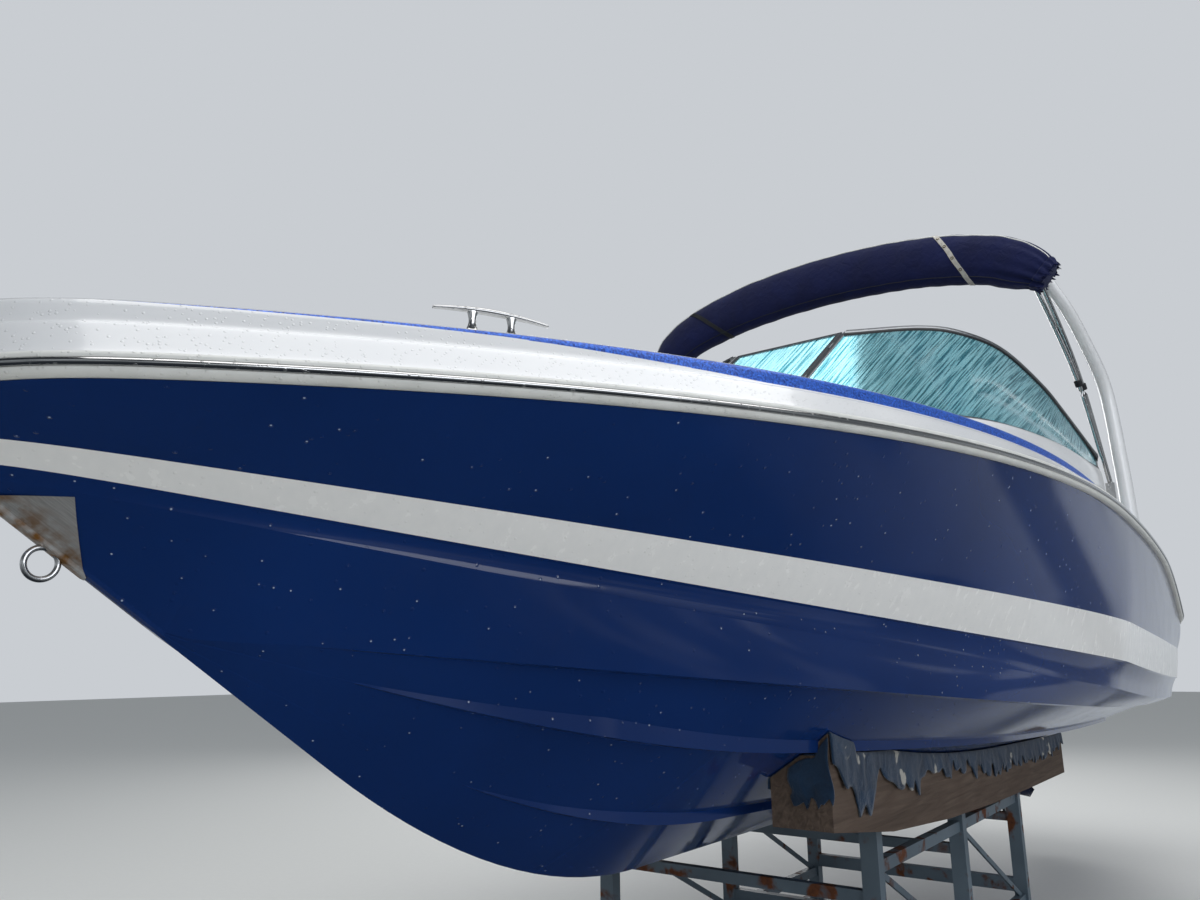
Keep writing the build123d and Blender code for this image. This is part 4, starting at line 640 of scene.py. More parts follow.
for node, station, inboard, angle in CLEATS:
    crown = max(v.co.z for v in NODES[node].data.vertices)
    for tag, sign in SIDES:
        turned = radians(angle) * sign
        ahead = np.array([cos(turned), sin(turned), 0])
        beside = np.array([-sin(turned), cos(turned), 0])
        base = np.array([station - MID, sign * (breadth("rail", station) - inboard), crown - CLEAT_TALL])
        share, wide, tall = eased(HORN + tuple((-a, b, c) for a, b, c in HORN[-2::-1]), 6).T[:, :, None]
        path = base + ahead * HORN_LONG * share + [0, 0, 1] * (HORN_LEVEL - HORN_DROOP * share**2)
        grid = path + np.cos(turns) * wide * beside + np.sin(turns) * tall * [0, 0, 1]
        horn = bar(f"{node[:-1]}_horn_{tag}", grid, steel, crease=60)
        up, thick, long = eased(LEG, 5).T[:, :, None]
        for end, out in (("fore", LEG_OUT), ("aft", -LEG_OUT)):
            grid = base + ahead * out + [0, 0, 1] * up
            grid = grid + np.cos(turns) * long * ahead + np.sin(turns) * thick * beside
            bar(f"{node[:-1]}_leg_{end}_{tag}", grid, steel, crease=60)
        if sign > 0:
            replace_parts(horn, node)
        if node == "bow_cleats":
            x, y = STUD_STATION - MID, sign * (breadth("rail", STUD_STATION) - STUD_IN)
            deck_top = faces_of(NODES["deck"]).ray_cast(Vector((x, y, 4)), Vector((0, 0, -1)))[0]
            deck_top = np.array(deck_top)
            lathed(f"locker_stud_{tag}", deck_top, (0, 0, 1), STUD, vinyl, count=24)

# Arch: a moulded glass fibre hoop with tapering legs, bolted through the deck, in white gelcoat.
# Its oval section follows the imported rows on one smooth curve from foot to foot.
ARCH = (
    (2.110, 1.196, 1.300, 0.130, 0.072),
    (2.130, 1.190, 1.600, 0.128, 0.070),
    (2.165, 1.172, 1.990, 0.118, 0.066),
    (2.380, 1.134, 2.200, 0.104, 0.062),
    (2.640, 1.080, 2.370, 0.088, 0.060),
    (2.755, 0.980, 2.500, 0.076, 0.060),
    (2.790, 0.640, 2.616, 0.070, 0.060),
    (2.795, 0.000, 2.660, 0.070, 0.060),
)


def hoop(rows, steps):
    """Port rows of station, Y, height, width and thickness carried on over the centreline to
    starboard: the path, its width direction, its thickness direction, and half of each size."""
    rows = np.asarray(rows)
    whole = eased(np.vstack([rows, rows[-2::-1] * [1, -1, 1, 1, 1]]), steps)
    path = whole[:, :3] + [-MID, 0, KEEL]
    ahead = unit(np.gradient(path, axis=0))
    across = unit(np.array([1.0, 0, 0]) - ahead * ahead[:, :1])
    return path, across, np.cross(ahead, across), whole[:, 3] / 2, whole[:, 4] / 2


def oval_grid(path, across, over, wide, thick, turns, power=1.0):
    """Rows round an oval whose corners square up as the power falls below one, along a path."""
    c = np.sign(np.cos(turns)) * np.abs(np.cos(turns)) ** power
    s = np.sign(np.sin(turns)) * np.abs(np.sin(turns)) ** power
    return path + c[:, None, None] * (across * wide[:, None]) + s[:, None, None] * (over * thick[:, None])


ARCH_POWER, BOOT_POWER = 0.85, 0.92
turns = np.linspace(0, 2 * pi, 41)[:-1]
oval = oval_grid(*hoop(ARCH, 10), turns, ARCH_POWER)
made = bar("arch_hoop", oval, white, crease=60)
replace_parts(made, "arch")

# Masthead lamp: a white acrylic lens on a short foot, screwed down on the arch's crown
LAMP = ((0.018, -0.004), (0.018, 0.016), (0.020, 0.018), (0.020, 0.066), (0.024, 0.071), (0.024, 0.094))
LAMP += ((0.021, 0.104), (0.014, 0.111), (0.006, 0.1138), (0.0, 0.114))

# acrylic lens: milky, glossy, with faint ribs round it that spread its light
milky = {"Roughness": 0.12, "Subsurface Weight": 0.3, "Subsurface Scale": 0.01}
lens, tree, place, _ = material("milky_acrylic", milky, (90.0, 3.0), "#dcdcd6", "#f4f4f0")
ribs = add(tree, "TexWave", {"Scale": 90.0, "bands_direction": "Z", "Vector": place})
add(tree, "Bump", {"Height": ribs, "Distance": 0.0003}, 0, "Normal")
crown = np.array([2.795 - MID, 0, 2.660 + 0.030 + KEEL])
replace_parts(lathed("lamp_lens", crown, (0, 0, 1), LAMP, lens), "masthead_lamp")

# Stowed bimini top: navy acrylic canvas folded round its bows and zipped in a boot, which lies
# along the front of the arch. White piping runs along its top, two webbing straps hold it, and
# its port end is bunched and frayed.
BOOT_STATION = 2.908
BOOT = (
    (BOOT_STATION, 1.088, 2.382, 0.092, 0.142),
    (BOOT_STATION, 0.980, 2.468, 0.140, 0.236),
    (BOOT_STATION, 0.800, 2.556, 0.148, 0.262),
    (BOOT_STATION, 0.450, 2.632, 0.150, 0.276),
    (BOOT_STATION, 0.000, 2.660, 0.150, 0.280),
)

# acrylic canvas: dull, finely creased and faded in patches; its weave is too fine to draw
dry = {"Roughness": 0.9, "Sheen Weight": 0.1, "Sheen Roughness": 0.5, "Specular IOR Level": 0.25}
canvas, tree, place, _ = material("woven_acrylic_canvas", dry, (7.0, 6.0), "#040a2c", "#0b1749")
creases = add(tree, "TexNoise", {"Scale": 28.0, "Detail": 6.0, "Distortion": 0.8, "Vector": place})
height = add(tree, "Math", {"operation": "MULTIPLY", 0: creases, 1: 8.0})
add(tree, "Bump", {"Height": height, "Distance": 0.0006}, 0, "Normal")

# webbing: woven polyester tape, pale with dirt in the weave
tape = {"Roughness": 0.85, "Sheen Weight": 0.2}
webbing, tree, place, _ = material("polyester_webbing", tape, (60.0, 4.0), "#8f8b84", "#cfcbc2")
ribs = add(tree, "TexWave", {"Scale": 260.0, "bands_direction": "DIAGONAL", "Vector": place})
add(tree, "Bump", {"Height": ribs, "Distance": 0.0006}, 0, "Normal")

path, across, over, wide, thick = hoop(BOOT, 26)
length = np.concatenate([[0], np.cumsum(np.linalg.norm(np.diff(path, axis=0), axis=1))])
AROUND, FOLD_ROOM, RIPPLE_TALL, RIDGE_TALL = 96, 0.004, 0.0035, 0.014
PORT_BUNCH, STARBOARD_BUNCH, STARBOARD_SHARE = 0.16, 0.10, 0.45
turns = np.linspace(0, 2 * pi, AROUND + 1)[:-1]
folds = np.random.default_rng(11)
bunched = np.exp(-length / PORT_BUNCH)
bunched = bunched + STARBOARD_SHARE * np.exp(-(length[-1] - length) / STARBOARD_BUNCH)
ripple = 0
for wave in range(9):
    pitch, lean, phase = folds.uniform(18, 60), folds.integers(1, 5), folds.uniform(0, 2 * pi)
    ripple = ripple + np.sin(pitch * length[None] + lean * turns[:, None] + phase) / 9
ridges = 0
for wave in range(5):
    count, phase, drift = folds.integers(5, 15), folds.uniform(0, 2 * pi), folds.uniform(-3, 3)
    ridges = ridges + np.sin(count * turns[:, None] + drift * length[None] + phase) / 5
stands = RIPPLE_TALL * ripple + RIDGE_TALL * ridges * bunched
grid = oval_grid(path, across, over, wide - FOLD_ROOM, thick - FOLD_ROOM, turns, BOOT_POWER)
around = np.cos(turns)[:, None, None] * across + np.sin(turns)[:, None, None] * over
creased = grid + around * stands[:, :, None]
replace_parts(bar("bimini_boot_canvas", creased, canvas, crease=70), "bimini_boot")


def on_boot(at, angle, lift):
    """Points on the boot's skin at places along it (metres from the port end) and angles round it."""
    at, angle, lift = np.broadcast_arrays(at, angle, lift)
    shape = at.shape
    at, angle, lift = at.ravel(), angle.ravel(), lift.ravel()
    row = (np.mod(angle, 2 * pi) / (2 * pi) * AROUND)[:, None]
    low = np.floor(row).astype(int)
    part = row - low
    columns = np.interp(at, length, np.arange(len(length)))
    left = np.minimum(columns.astype(int), len(length) - 2)
    share = (columns - left)[:, None]
    found = 0
    for rise, gain in ((low, 1 - part), (low + 1, part)):
        ring = np.mod(rise[:, 0], AROUND)
        found = found + gain * (creased[ring, left] * (1 - share) + creased[ring, left + 1] * share)
        facing = around[ring, left]
    return (found + facing * lift[:, None]).reshape(*shape, 3)


def cord(name, points, radius, made, body="boat", turns=8):
    """A round cord along points: circles square to the run, with their first spoke kept in one
    plane, and both ends closed."""
    points = np.asarray(points, float)
    points = points[np.append(True, np.linalg.norm(np.diff(points, axis=0), axis=1) > 1e-4)]
    ahead = unit(np.gradient(points, axis=0))
    rough = np.where(np.abs(ahead[:, 2:]) < 0.9, [[0, 0, 1.0]], [[1.0, 0, 0]])
    first = unit(np.cross(ahead, rough))
    angle = np.linspace(0, 2 * pi, turns + 1)[:-1]
    section = np.stack([np.cos(angle), np.sin(angle)], -1) * radius
    return bar(name, swept(points, first, np.cross(ahead, first), section), made, body, crease=60)


# vinyl piping, stitched into the seam along the boot's top edge, and the zip below its front
PIPING_AT, PIPING_RADIUS, ZIP_AT, ZIP_RADIUS = 1.05, 0.0035, -0.9, 0.0022
whole = np.linspace(0.03, length[-1] - 0.05, 200)
cord("boot_piping", on_boot(whole, PIPING_AT, 0.001), PIPING_RADIUS, vinyl)
cord("boot_zip", on_boot(whole, ZIP_AT, 0.0), ZIP_RADIUS, rubber)

# webbing straps round the boot, flat tapes that lean across it, pale to port and black to starboard
STRAP_SECTION = ((-0.014, 0.0), (-0.014, 0.003), (0.014, 0.003), (0.014, 0.0))
PORT_STRAP, PORT_LEAN = 0.47, 0.11
for tag, at, lean, made in (("port", PORT_STRAP, PORT_LEAN, webbing), ("starboard", 1.88, 0.10, rubber)):
    angle = np.linspace(-2.2, 1.25, 60)
    reach = at + lean * np.sin(angle)
    rows = [on_boot(reach + shift, angle, lift) for shift, lift in STRAP_SECTION]
    bar(f"boot_strap_{tag}", np.stack(rows), made, crease=50)

# brass grommets along the pale strap, blackened with age
dark_brass = {"Metallic": 1.0, "Roughness": 0.4}
grommet = material("tarnished_brass", dark_brass, (220.0, 4.0), "#3b3428", "#8d7c55")[0]
EYELET = ((0.0045, 0.0), (0.0045, 0.002), (0.006, 0.003), (0.0078, 0.002), (0.0078, 0.0))
for count, angle in enumerate((-0.55, -0.1, 0.35, 0.8)):
    base = on_boot(PORT_STRAP + PORT_LEAN * sin(angle), angle, 0.002)
    facing = unit(on_boot(PORT_STRAP, angle, 0.05) - on_boot(PORT_STRAP, angle, 0.0))
    lathed(f"boot_grommet_{count}", base, facing, EYELET, grommet, count=20)

# torn canvas at the boot's port end: a ragged collar of the same cloth, hanging past the arch
angle = np.linspace(0, 2 * pi, 145)
tatter = np.random.default_rng(4).uniform(0, 1, (3, 145))
ragged = 0.030 + 0.030 * np.abs(np.sin(angle * 3.5 + 1)) * tatter[0] + 0.012 * tatter[1]
COLLAR_AT, COLLAR_THICK = 0.045, 0.0012
share = np.linspace(0, 1, 8)[:, None]
at = COLLAR_AT - share * ragged
flare = 0.003 + share * 0.012 * (1 + np.sin(angle * 9 + 4 * share)) / 2
rim = on_boot(np.maximum(at, 0.0), angle[None], flare)
rim[:, -1] = rim[:, 0]
rim = rim + unit(path[0] - path[2]) * np.maximum(-at, 0)[:, :, None]
collar = sheet_mesh("boot_torn_end", rim, [canvas], crease=70)
wall = collar.modifiers.new("cloth", "SOLIDIFY")
wall.thickness, wall.offset = COLLAR_THICK, 0.0
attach(collar, "boat")

# Bimini legs: stainless tubes from the boot down to hinged feet on the deck, one clamped to the other
TUBES = (
    ((2.385, 1.160, 1.460), (2.600, 1.112, 1.990), (2.928, 1.040, 2.420)),
    ((2.447, 1.148, 1.590), (2.630, 1.100, 1.990), (2.888, 1.000, 2.440)),
)
LEG_RADIUS = 0.011
CLAMP = ((0.016, -0.016), (0.018, -0.014), (0.018, 0.014), (0.016, 0.016))
legs = []
for tag, sign in SIDES:
    for count, rows in enumerate(TUBES):
        line = eased(rows, 14) * [1, sign, 1] + [-MID, 0, KEEL]
        legs.append(cord(f"bimini_leg_{count}_{tag}", line, LEG_RADIUS, steel, turns=20))
        middle, ahead = line[12], line[13] - line[11]
        lathed(f"bimini_clamp_{count}_{tag}", middle, ahead, CLAMP, rubber, count=24)
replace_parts(legs[0], "bimini_legs")
paint(steel, "bimini_feet")

# Upholstery: seats, bench, bow cushions and sunpad, all foam wrapped in white marine vinyl with
# navy piping in the seams. Each is a drawn-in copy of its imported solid, puffed up by a cloth run
# and then grooved along its seams.

# marine vinyl: embossed leather grain at 2 mm, soft gloss, greyed where water has stood
soft = {"Roughness": 0.42, "Coat Weight": 0.1, "Coat Roughness": 0.3}
looks = ("marine_vinyl", soft, (6.0, 6.0), "#dfddd7", "#d2d0c9")
upholstery, tree, place, _ = material(*looks, span=(0.35, 0.7))
grain = add(tree, "TexVoronoi", {"Scale": 500.0, "Vector": place}, 0)
pucker = add(tree, "TexNoise", {"Scale": 22.0, "Detail": 3.0, "Vector": place})
height = add(tree, "Math", {"operation": "MULTIPLY_ADD", 0: pucker, 1: 9.0, 2: grain})
add(tree, "Bump", {"Height": height, "Distance": 0.0005}, 0, "Normal")

# piping: navy vinyl over a cord, with a fine grain
looks = ("navy_piping", {"Roughness": 0.4}, (400.0, 2.0), "#0c1838", "#1c2c5c")
piping, tree, _, grain = material(*looks)
add(tree, "Bump", {"Height": grain, "Distance": 0.0003}, 0, "Normal")


def points_of(mesh):
    """A mesh's points as rows."""
    flat = np.empty(3 * len(mesh.vertices))
    mesh.vertices.foreach_get("co", flat)
    return flat.reshape(-1, 3)


def applied(made):
    """Replaces an object's mesh with what its modifiers give, and removes them."""
    done = bpy.data.meshes.new_from_object(made.evaluated_get(bpy.context.evaluated_depsgraph_get()))
    made.modifiers.clear()
    made.data = done
    return done


def resampled(line, pitch=0.012):
    """Points spaced evenly along a line of points."""
    line = np.asarray(line, float)
    run = np.concatenate([[0], np.cumsum(np.linalg.norm(np.diff(line, axis=0), axis=1))])
    at = np.linspace(0, run[-1], max(3, int(run[-1] / pitch)))
    return np.stack([np.interp(at, run, line[:, k]) for k in range(3)], -1)


GROOVE_DEEP, GROOVE_WIDE, PIPING, INSIDE = 0.0055, 0.011, 0.0028, 0.0006


def puffed(name, node, body, voxel, drawn, cap, seams):
    """A packed soft solid as a cushion: copied, merged, drawn in along its normals, remeshed, swollen
    by cloth under pressure with no point moving past the cap, then grooved and piped on its seams."""
    mesh = NODES[node].data.copy()
    work = bmesh.new()
    work.from_mesh(mesh)
    bmesh.ops.remove_doubles(work, verts=work.verts, dist=1e-5)
    bmesh.ops.dissolve_limit(work, angle_limit=radians(1), verts=work.verts, edges=work.edges)
    work.to_mesh(mesh)
    work.free()
    mesh.materials.clear()
    mesh.materials.append(upholstery)
    made = shown(name, mesh)
    grid = made.modifiers.new("grid", "REMESH")
    grid.mode, grid.voxel_size = "VOXEL", voxel
    shrink = made.modifiers.new("drawn", "DISPLACE")
    shrink.mid_level, shrink.strength = 0.0, -drawn
    relax = made.modifiers.new("relax", "SMOOTH")
    relax.factor, relax.iterations = 0.5, 6
    mesh = applied(made)
    rest = points_of(mesh)
    cloth = made.modifiers.new("puff", "CLOTH")
    cloth.settings.use_pressure = True
    cloth.settings.uniform_pressure_force = 4.0
    cloth.settings.effector_weights.gravity = 0.0
    cloth.settings.bending_stiffness = 0.5
    scene = bpy.context.scene
    for frame_number in range(1, 21):
        scene.frame_set(frame_number)
    mesh = applied(made)
    scene.frame_set(1)
    moved = points_of(mesh) - rest
    far = np.linalg.norm(moved, axis=1, keepdims=True)
    spots = rest + moved * np.minimum(1, cap / np.maximum(far, 1e-9))
    low, high = (np.array(side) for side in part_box(node))
    spots = np.clip(spots, low + INSIDE, high - INSIDE)
    tree = BVHTree.FromPolygons(spots.tolist(), [tuple(face.vertices) for face in mesh.polygons])
    cords = []
    for line in seams:
        line = np.array([tree.find_nearest(Vector(spot))[0] for spot in resampled(line)])
        near = np.full(len(spots), 9.0)
        for start in range(0, len(line), 40):
            gap = np.linalg.norm(spots[:, None] - line[None, start : start + 40], axis=2).min(1)
            near = np.minimum(near, gap)
        facing = np.empty(3 * len(spots))
        mesh.vertices.foreach_set("co", spots.ravel())
        mesh.update()
        mesh.vertices.foreach_get("normal", facing)
        spots = spots - facing.reshape(-1, 3) * (GROOVE_DEEP * np.exp(-((near / GROOVE_WIDE) ** 2)))[:, None]
        cords.append(line)
    mesh.vertices.foreach_set("co", spots.ravel())
    mesh.polygons.foreach_set("use_smooth", [True] * len(mesh.polygons))
    mesh.update()
    finer = made.modifiers.new("finer", "SUBSURF")
    finer.levels = finer.render_levels = 1
    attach(made, body)
    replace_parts(made, node)
    for count, line in enumerate(cords):
        cord(f"{name}_piping_{count}", line, PIPING, piping, body)
    return made


def loop(points):
    """A line closed on its first point."""
    return np.vstack([points, points[:1]])


TOP, BENCH_SEAM, SEAT_SEAM, SEAT_HALF = 1.570, 0.309, 0.208, 0.2
bench = [((-1.60, y, TOP), (-1.09, y, TOP), (-1.078, y, 1.46)) for y in (-BENCH_SEAM, BENCH_SEAM)]
bench += [((-1.53, y, 1.60), (-1.52, y, 1.91), (-1.60, y, 1.91)) for y in (-BENCH_SEAM, BENCH_SEAM)]
bench.append(((-1.085, -0.92, TOP), (-1.085, 0.92, TOP)))
bench.append(((-1.53, -0.92, 1.905), (-1.53, 0.92, 1.905)))
puffed("bench_cushion", "bench_cushions", "boat", 0.011, 0.010, 0.012, bench)
BOW = [(4.730, 0.296), (5.290, 0.296), (5.660, 0.216), (5.940, 0.200), (5.940, 0.262), (5.300, 0.568)]
BOW = np.array([*BOW, (4.730, 0.756)]) - [MID, 0]
rims = [loop(np.column_stack([BOW * [1, sign], np.full(7, 1.6)])) for sign in (1, -1)]
puffed("bow_cushion", "bow_cushions", "boat", 0.009, 0.009, 0.011, rims)
pleats = [(x, sign) for x in (-2.44, -2.20, -1.96) for sign in (1, -1)]
pleats = [((x, sign * 0.02, 2.15), (x, sign * 0.56, 2.15)) for x, sign in pleats]
puffed("sunpad_cushion", "sunpad", "hatch", 0.010, 0.009, 0.012, pleats)
for node, body, middle in (("passenger_seat", "port_seat", 0.566), ("helm_seat", "starboard_seat", -0.566)):
    seams = []
    for sign in (-1, 1):
        y = middle + sign * SEAT_SEAM
        seams.append(((-0.43, y, 1.60), (-0.73, y, 1.72), (-0.80, y, 2.0)))
        y = y + sign * 0.04
        seams.append(((-0.43, y, 1.60), (-0.72, y, 1.69), (-0.79, y, 1.99)))
    for x, z in ((-0.37, 1.56), (-0.76, 1.80)):
        seams.append(((x, middle - SEAT_HALF, z), (x, middle + SEAT_HALF, z)))
    puffed(f"{node}_wrap", node, body, 0.008, 0.006, 0.008, seams)

# Consoles, bench base, pedestals and door jamb: white glass fibre mouldings bonded to the inner one.
# Five gauges are let into the helm's dash; the column and the control box are black plastic.

# soft-touch plastic: near black, with a fine moulded texture that keeps it from shining
looks = ("moulded_black_plastic", {"Roughness": 0.5}, (700.0, 2.0), "#141416", "#2a2b2d")
plastic, tree, _, grain = material(*looks)
add(tree, "Bump", {"Height": grain, "Distance": 0.0003}, 0, "Normal")

# gauge face: printed dial under a domed lens, ticks drawn from the angle round its own middle
domed = {"Roughness": 0.12, "Coat Weight": 1.0, "Coat Roughness": 0.03}
dial, tree, _, _ = material("printed_gauge_face", domed)
place = add(tree, "TexCoord", {}, 2)
ticks = add(tree, "TexWave", {"Scale": 9.5, "bands_direction": "X", "Vector": place})
marks = add(tree, "MapRange", {"Value": ticks, "From Min": 0.86, "From Max": 0.9})
rim_only = add(tree, "SeparateXYZ", {"Vector": place}, 1)
edge = add(tree, "MapRange", {"Value": rim_only, "From Min": 0.62, "From Max": 0.66})
marks = add(tree, "Math", {"operation": "MULTIPLY", 0: marks, 1: edge})
shaded(tree, marks, "#101114", "#e9e7dd")

paint(white, "port_console", "helm_console", "door_jamb", "bench_base", "seat_pedestals")
paint(plastic, "steering_column", "throttle_control")
DASH = np.array([(3.600 - MID, 1.200 + KEEL), (3.720 - MID, 1.300 + KEEL)])
slope = unit(DASH[1] - DASH[0])
facing = np.array([-slope[1], 0, slope[0]])
GAUGES = ((-0.52, 0.5, 0.040), (-0.63, 0.5, 0.040), (-0.71, 0.35, 0.026), (-0.44, 0.35, 0.026))
GAUGES += ((-0.575, 0.86, 0.020),)
BEZEL = ((0.0, -0.001), (0.003, 0.002), (0.002, 0.006), (-0.002, 0.007), (-0.004, 0.004))
FACE_IN, FACE_LIFT, FACE_SIDES = 0.004, 0.0045, 48
second = np.array([0, 1.0, 0])
first = np.cross(second, facing)
turn = np.linspace(0, 2 * pi, FACE_SIDES + 1)[:, None]
spokes = np.cos(turn) * first + np.sin(turn) * second
out = np.array([0.0, 0.6, 1.0])[:, None]
for count, (y, up, radius) in enumerate(GAUGES):
    middle = DASH[0] + (DASH[1] - DASH[0]) * up
    centre = np.array([middle[0], y, middle[1]])
    bezel = [(radius + wide, tall) for wide, tall in BEZEL]
    lathed(f"gauge_bezel_{count}", centre, facing, bezel, steel, count=48)
    ring_at = centre + facing * FACE_LIFT + (radius - FACE_IN) * out[..., None] * spokes
    rows, columns = ring_at.shape[:2]
    mesh = bpy.data.meshes.new(f"gauge_face_{count}")
    index = np.arange(rows * columns).reshape(rows, columns)
    quads = np.stack([index[:-1, :-1], index[1:, :-1], index[1:, 1:], index[:-1, 1:]], -1).reshape(-1, 4)
    mesh.from_pydata(ring_at.reshape(-1, 3).tolist(), [], quads.tolist())
    mesh.materials.append(dial)
    print_map = mesh.uv_layers.new(name="dial")
    corner = np.empty(len(mesh.loops), np.int32)
    mesh.loops.foreach_get("vertex_index", corner)
    flat = np.column_stack([(corner % columns) / FACE_SIDES, out[corner // columns, 0]])
    print_map.data.foreach_set("uv", flat.ravel())
    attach(shown(f"gauge_face_{count}", mesh), "boat")

# Steering wheel: a padded rim on three flat steel spokes, turning about the raked column
WHEEL = np.array([3.500 - MID, -0.574, 1.110 + KEEL])
COLUMN_RAKE, RIM, RIM_BAR, SPOKE_THICK = radians(17), 0.180, 0.0135, 0.0028
SPOKE_IN, SPOKE_OUT, SPOKE_DISH = 0.024, 0.172, 0.020

# stitched grip: perforated dark vinyl, worn shiny in patches
looks = ("perforated_grip_vinyl", {}, (25.0, 4.0), "#17181b", "#2c2d31", (0.3, 0.6))
leather, tree, place, _ = material(*looks)
holes = add(tree, "TexVoronoi", {"Scale": 420.0, "Vector": place}, 0)
add(tree, "Bump", {"Height": holes, "Distance": 0.0006}, 0, "Normal")

axis = np.array([-cos(COLUMN_RAKE), 0, sin(COLUMN_RAKE)])
across = np.array([0, 1.0, 0])
down = np.cross(axis, across)
turn = np.linspace(0, 2 * pi, 97)[:-1, None]
outward = across * np.cos(turn) + down * np.sin(turn)
turn = np.linspace(0, 2 * pi, 25)[:-1, None, None]
rim = WHEEL + outward * (RIM + RIM_BAR * np.cos(turn)) + axis * (RIM_BAR * np.sin(turn))
closed = np.concatenate([rim, rim[:, :1]], 1)
wheel_rim = sheet_mesh("wheel_rim", closed, [leather], ring=True, crease=60)
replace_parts(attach(wheel_rim, "wheel"), "steering_wheel")
for count, degrees in enumerate((90, 210, 330)):
    out = across * cos(radians(degrees)) + down * sin(radians(degrees))
    side = np.cross(axis, out)
    reach = np.linspace(SPOKE_IN, SPOKE_OUT, 12)[:, None]
    line = WHEEL + out * reach - axis * (SPOKE_DISH * (1 - (reach / SPOKE_OUT)) ** 1.3)
    wide = np.interp(reach[:, 0], [SPOKE_IN, 0.09, SPOKE_OUT], [0.017, 0.011, 0.013])[:, None]
    spoke = line[None] + side * wide * squared[:, :1, None] + axis * SPOKE_THICK * squared[:, 1:, None]
    bar(f"wheel_spoke_{count}", spoke, steel, "wheel", crease=60)
HUB = ((0.034, -0.026), (0.036, -0.022), (0.036, -0.006), (0.030, 0.004), (0.020, 0.008), (0.008, 0.010))
lathed("wheel_hub", WHEEL, axis, HUB, plastic, "wheel")

# Walkway door: a white moulded panel on a barrel hinge
paint(white, "walkway_door")

# Engine hatch: the lid that carries the sunpad, white gelcoat over glass fibre
paint(white, "engine_hatch")

# Engine: a marine petrol block in satin enamel, charcoal grey and patchy with oil film and dust
looks = ("satin_engine_enamel", {"Coat Weight": 0.2}, (9.0, 7.0), "#26282b", "#4b4e52", (0.25, 0.6))
enamel, tree, place, _ = material(*looks, span=(0.35, 0.68))
cast = add(tree, "TexNoise", {"Scale": 260.0, "Detail": 3.0, "Vector": place})
add(tree, "Bump", {"Height": cast, "Distance": 0.0006}, 0, "Normal")
paint(enamel, "engine")

# Sterndrive: cast aluminium housings in black drive enamel, chalked by salt and scuffed at edges
chalky = {"Coat Weight": 0.25, "Coat Roughness": 0.2}
looks = ("chalked_drive_enamel", chalky, (14.0, 7.0), "#121315", "#3d4043", (0.22, 0.55))
drive_black, tree, place, _ = material(*looks, span=(0.42, 0.72))
cast = add(tree, "TexNoise", {"Scale": 320.0, "Detail": 2.0, "Vector": place})
add(tree, "Bump", {"Height": cast, "Distance": 0.0003}, 0, "Normal")
paint(drive_black, "transom_shield", "gimbal_ring", "drive_case", "drive_leg")

# propeller steel: polished stainless, heat-browned and scratched along the blades
looks = ("polished_propeller_steel", {"Metallic": 1.0}, (18.0, 5.0), "#9a948c", "#c9c8c5")
polished, tree, place, _ = material(*looks)
scratch = add(tree, "Mapping", {"Vector": place, "Scale": (40.0, 400.0, 40.0)})
scratch = add(tree, "TexNoise", {"Scale": 1.0, "Detail": 3.0, "Vector": scratch})
add(tree, "MapRange", {"Value": scratch, "To Min": 0.14, "To Max": 0.34}, 0, "Roughness")
paint(polished, "propeller")

# Cradle: a heavy softwood bunk under each side of the bottom, on welded steel frames bolted to the
# floor, with torn carpet over the timber

# weathered softwood: brown-grey, grain drawn out along the beam, with splits and dirt
dry = {"Roughness": 0.85, "Specular IOR Level": 0.3}
timber, tree, place, _ = material("weathered_softwood", dry)
long_way = add(tree, "Mapping", {"Vector": place, "Scale": (2.2, 40.0, 40.0)})
grain = add(tree, "TexNoise", {"Scale": 1.0, "Detail": 8.0, "Distortion": 1.4, "Vector": long_way})
dirt = add(tree, "TexNoise", {"Scale": 5.0, "Detail": 6.0, "Vector": place})
shade = add(tree, "MapRange", {"Value": dirt, "From Min": 0.3, "From Max": 0.75, "To Max": 0.85})
shaded(tree, shade, shaded(tree, grain, "#241b16", "#7c6b5e"), "#54453b")
split = add(tree, "Mapping", {"Vector": place, "Scale": (5.0, 120.0, 120.0)})
split = add(tree, "TexNoise", {"Scale": 1.0, "Detail": 4.0, "Vector": split})
height = add(tree, "Math", {"operation": "MULTIPLY_ADD", 0: grain, 1: 1.5, 2: split})
add(tree, "Bump", {"Height": height, "Distance": 0.004}, 0, "Normal")
paint(timber, "cradle_bunks")

# cradle steel: blue-grey brushed enamel over angle iron, blistered with rust
rusty, tree, place, _ = material("brushed_enamel_with_rust", {"Specular IOR Level": 0.4})
patch = add(tree, "TexNoise", {"Scale": 9.0, "Detail": 8.0, "Distortion": 0.4, "Vector": place})
rust = add(tree, "MapRange", {"Value": patch, "From Min": 0.56, "From Max": 0.64})
weather = add(tree, "TexNoise", {"Scale": 3.0, "Detail": 4.0, "Vector": place})
orange = add(tree, "TexNoise", {"Scale": 60.0, "Detail": 5.0, "Vector": place})
sound, orange = shaded(tree, weather, "#34424d", "#70808b"), shaded(tree, orange, "#2e1c14", "#7a4626")
shaded(tree, rust, sound, orange, (0.45, 0.9))
height = add(tree, "Math", {"operation": "ADD", 0: rust, 1: patch})
add(tree, "Bump", {"Height": height, "Distance": 0.0008}, 0, "Normal")
paint(rusty, "cradle_frames", "cradle_rails")

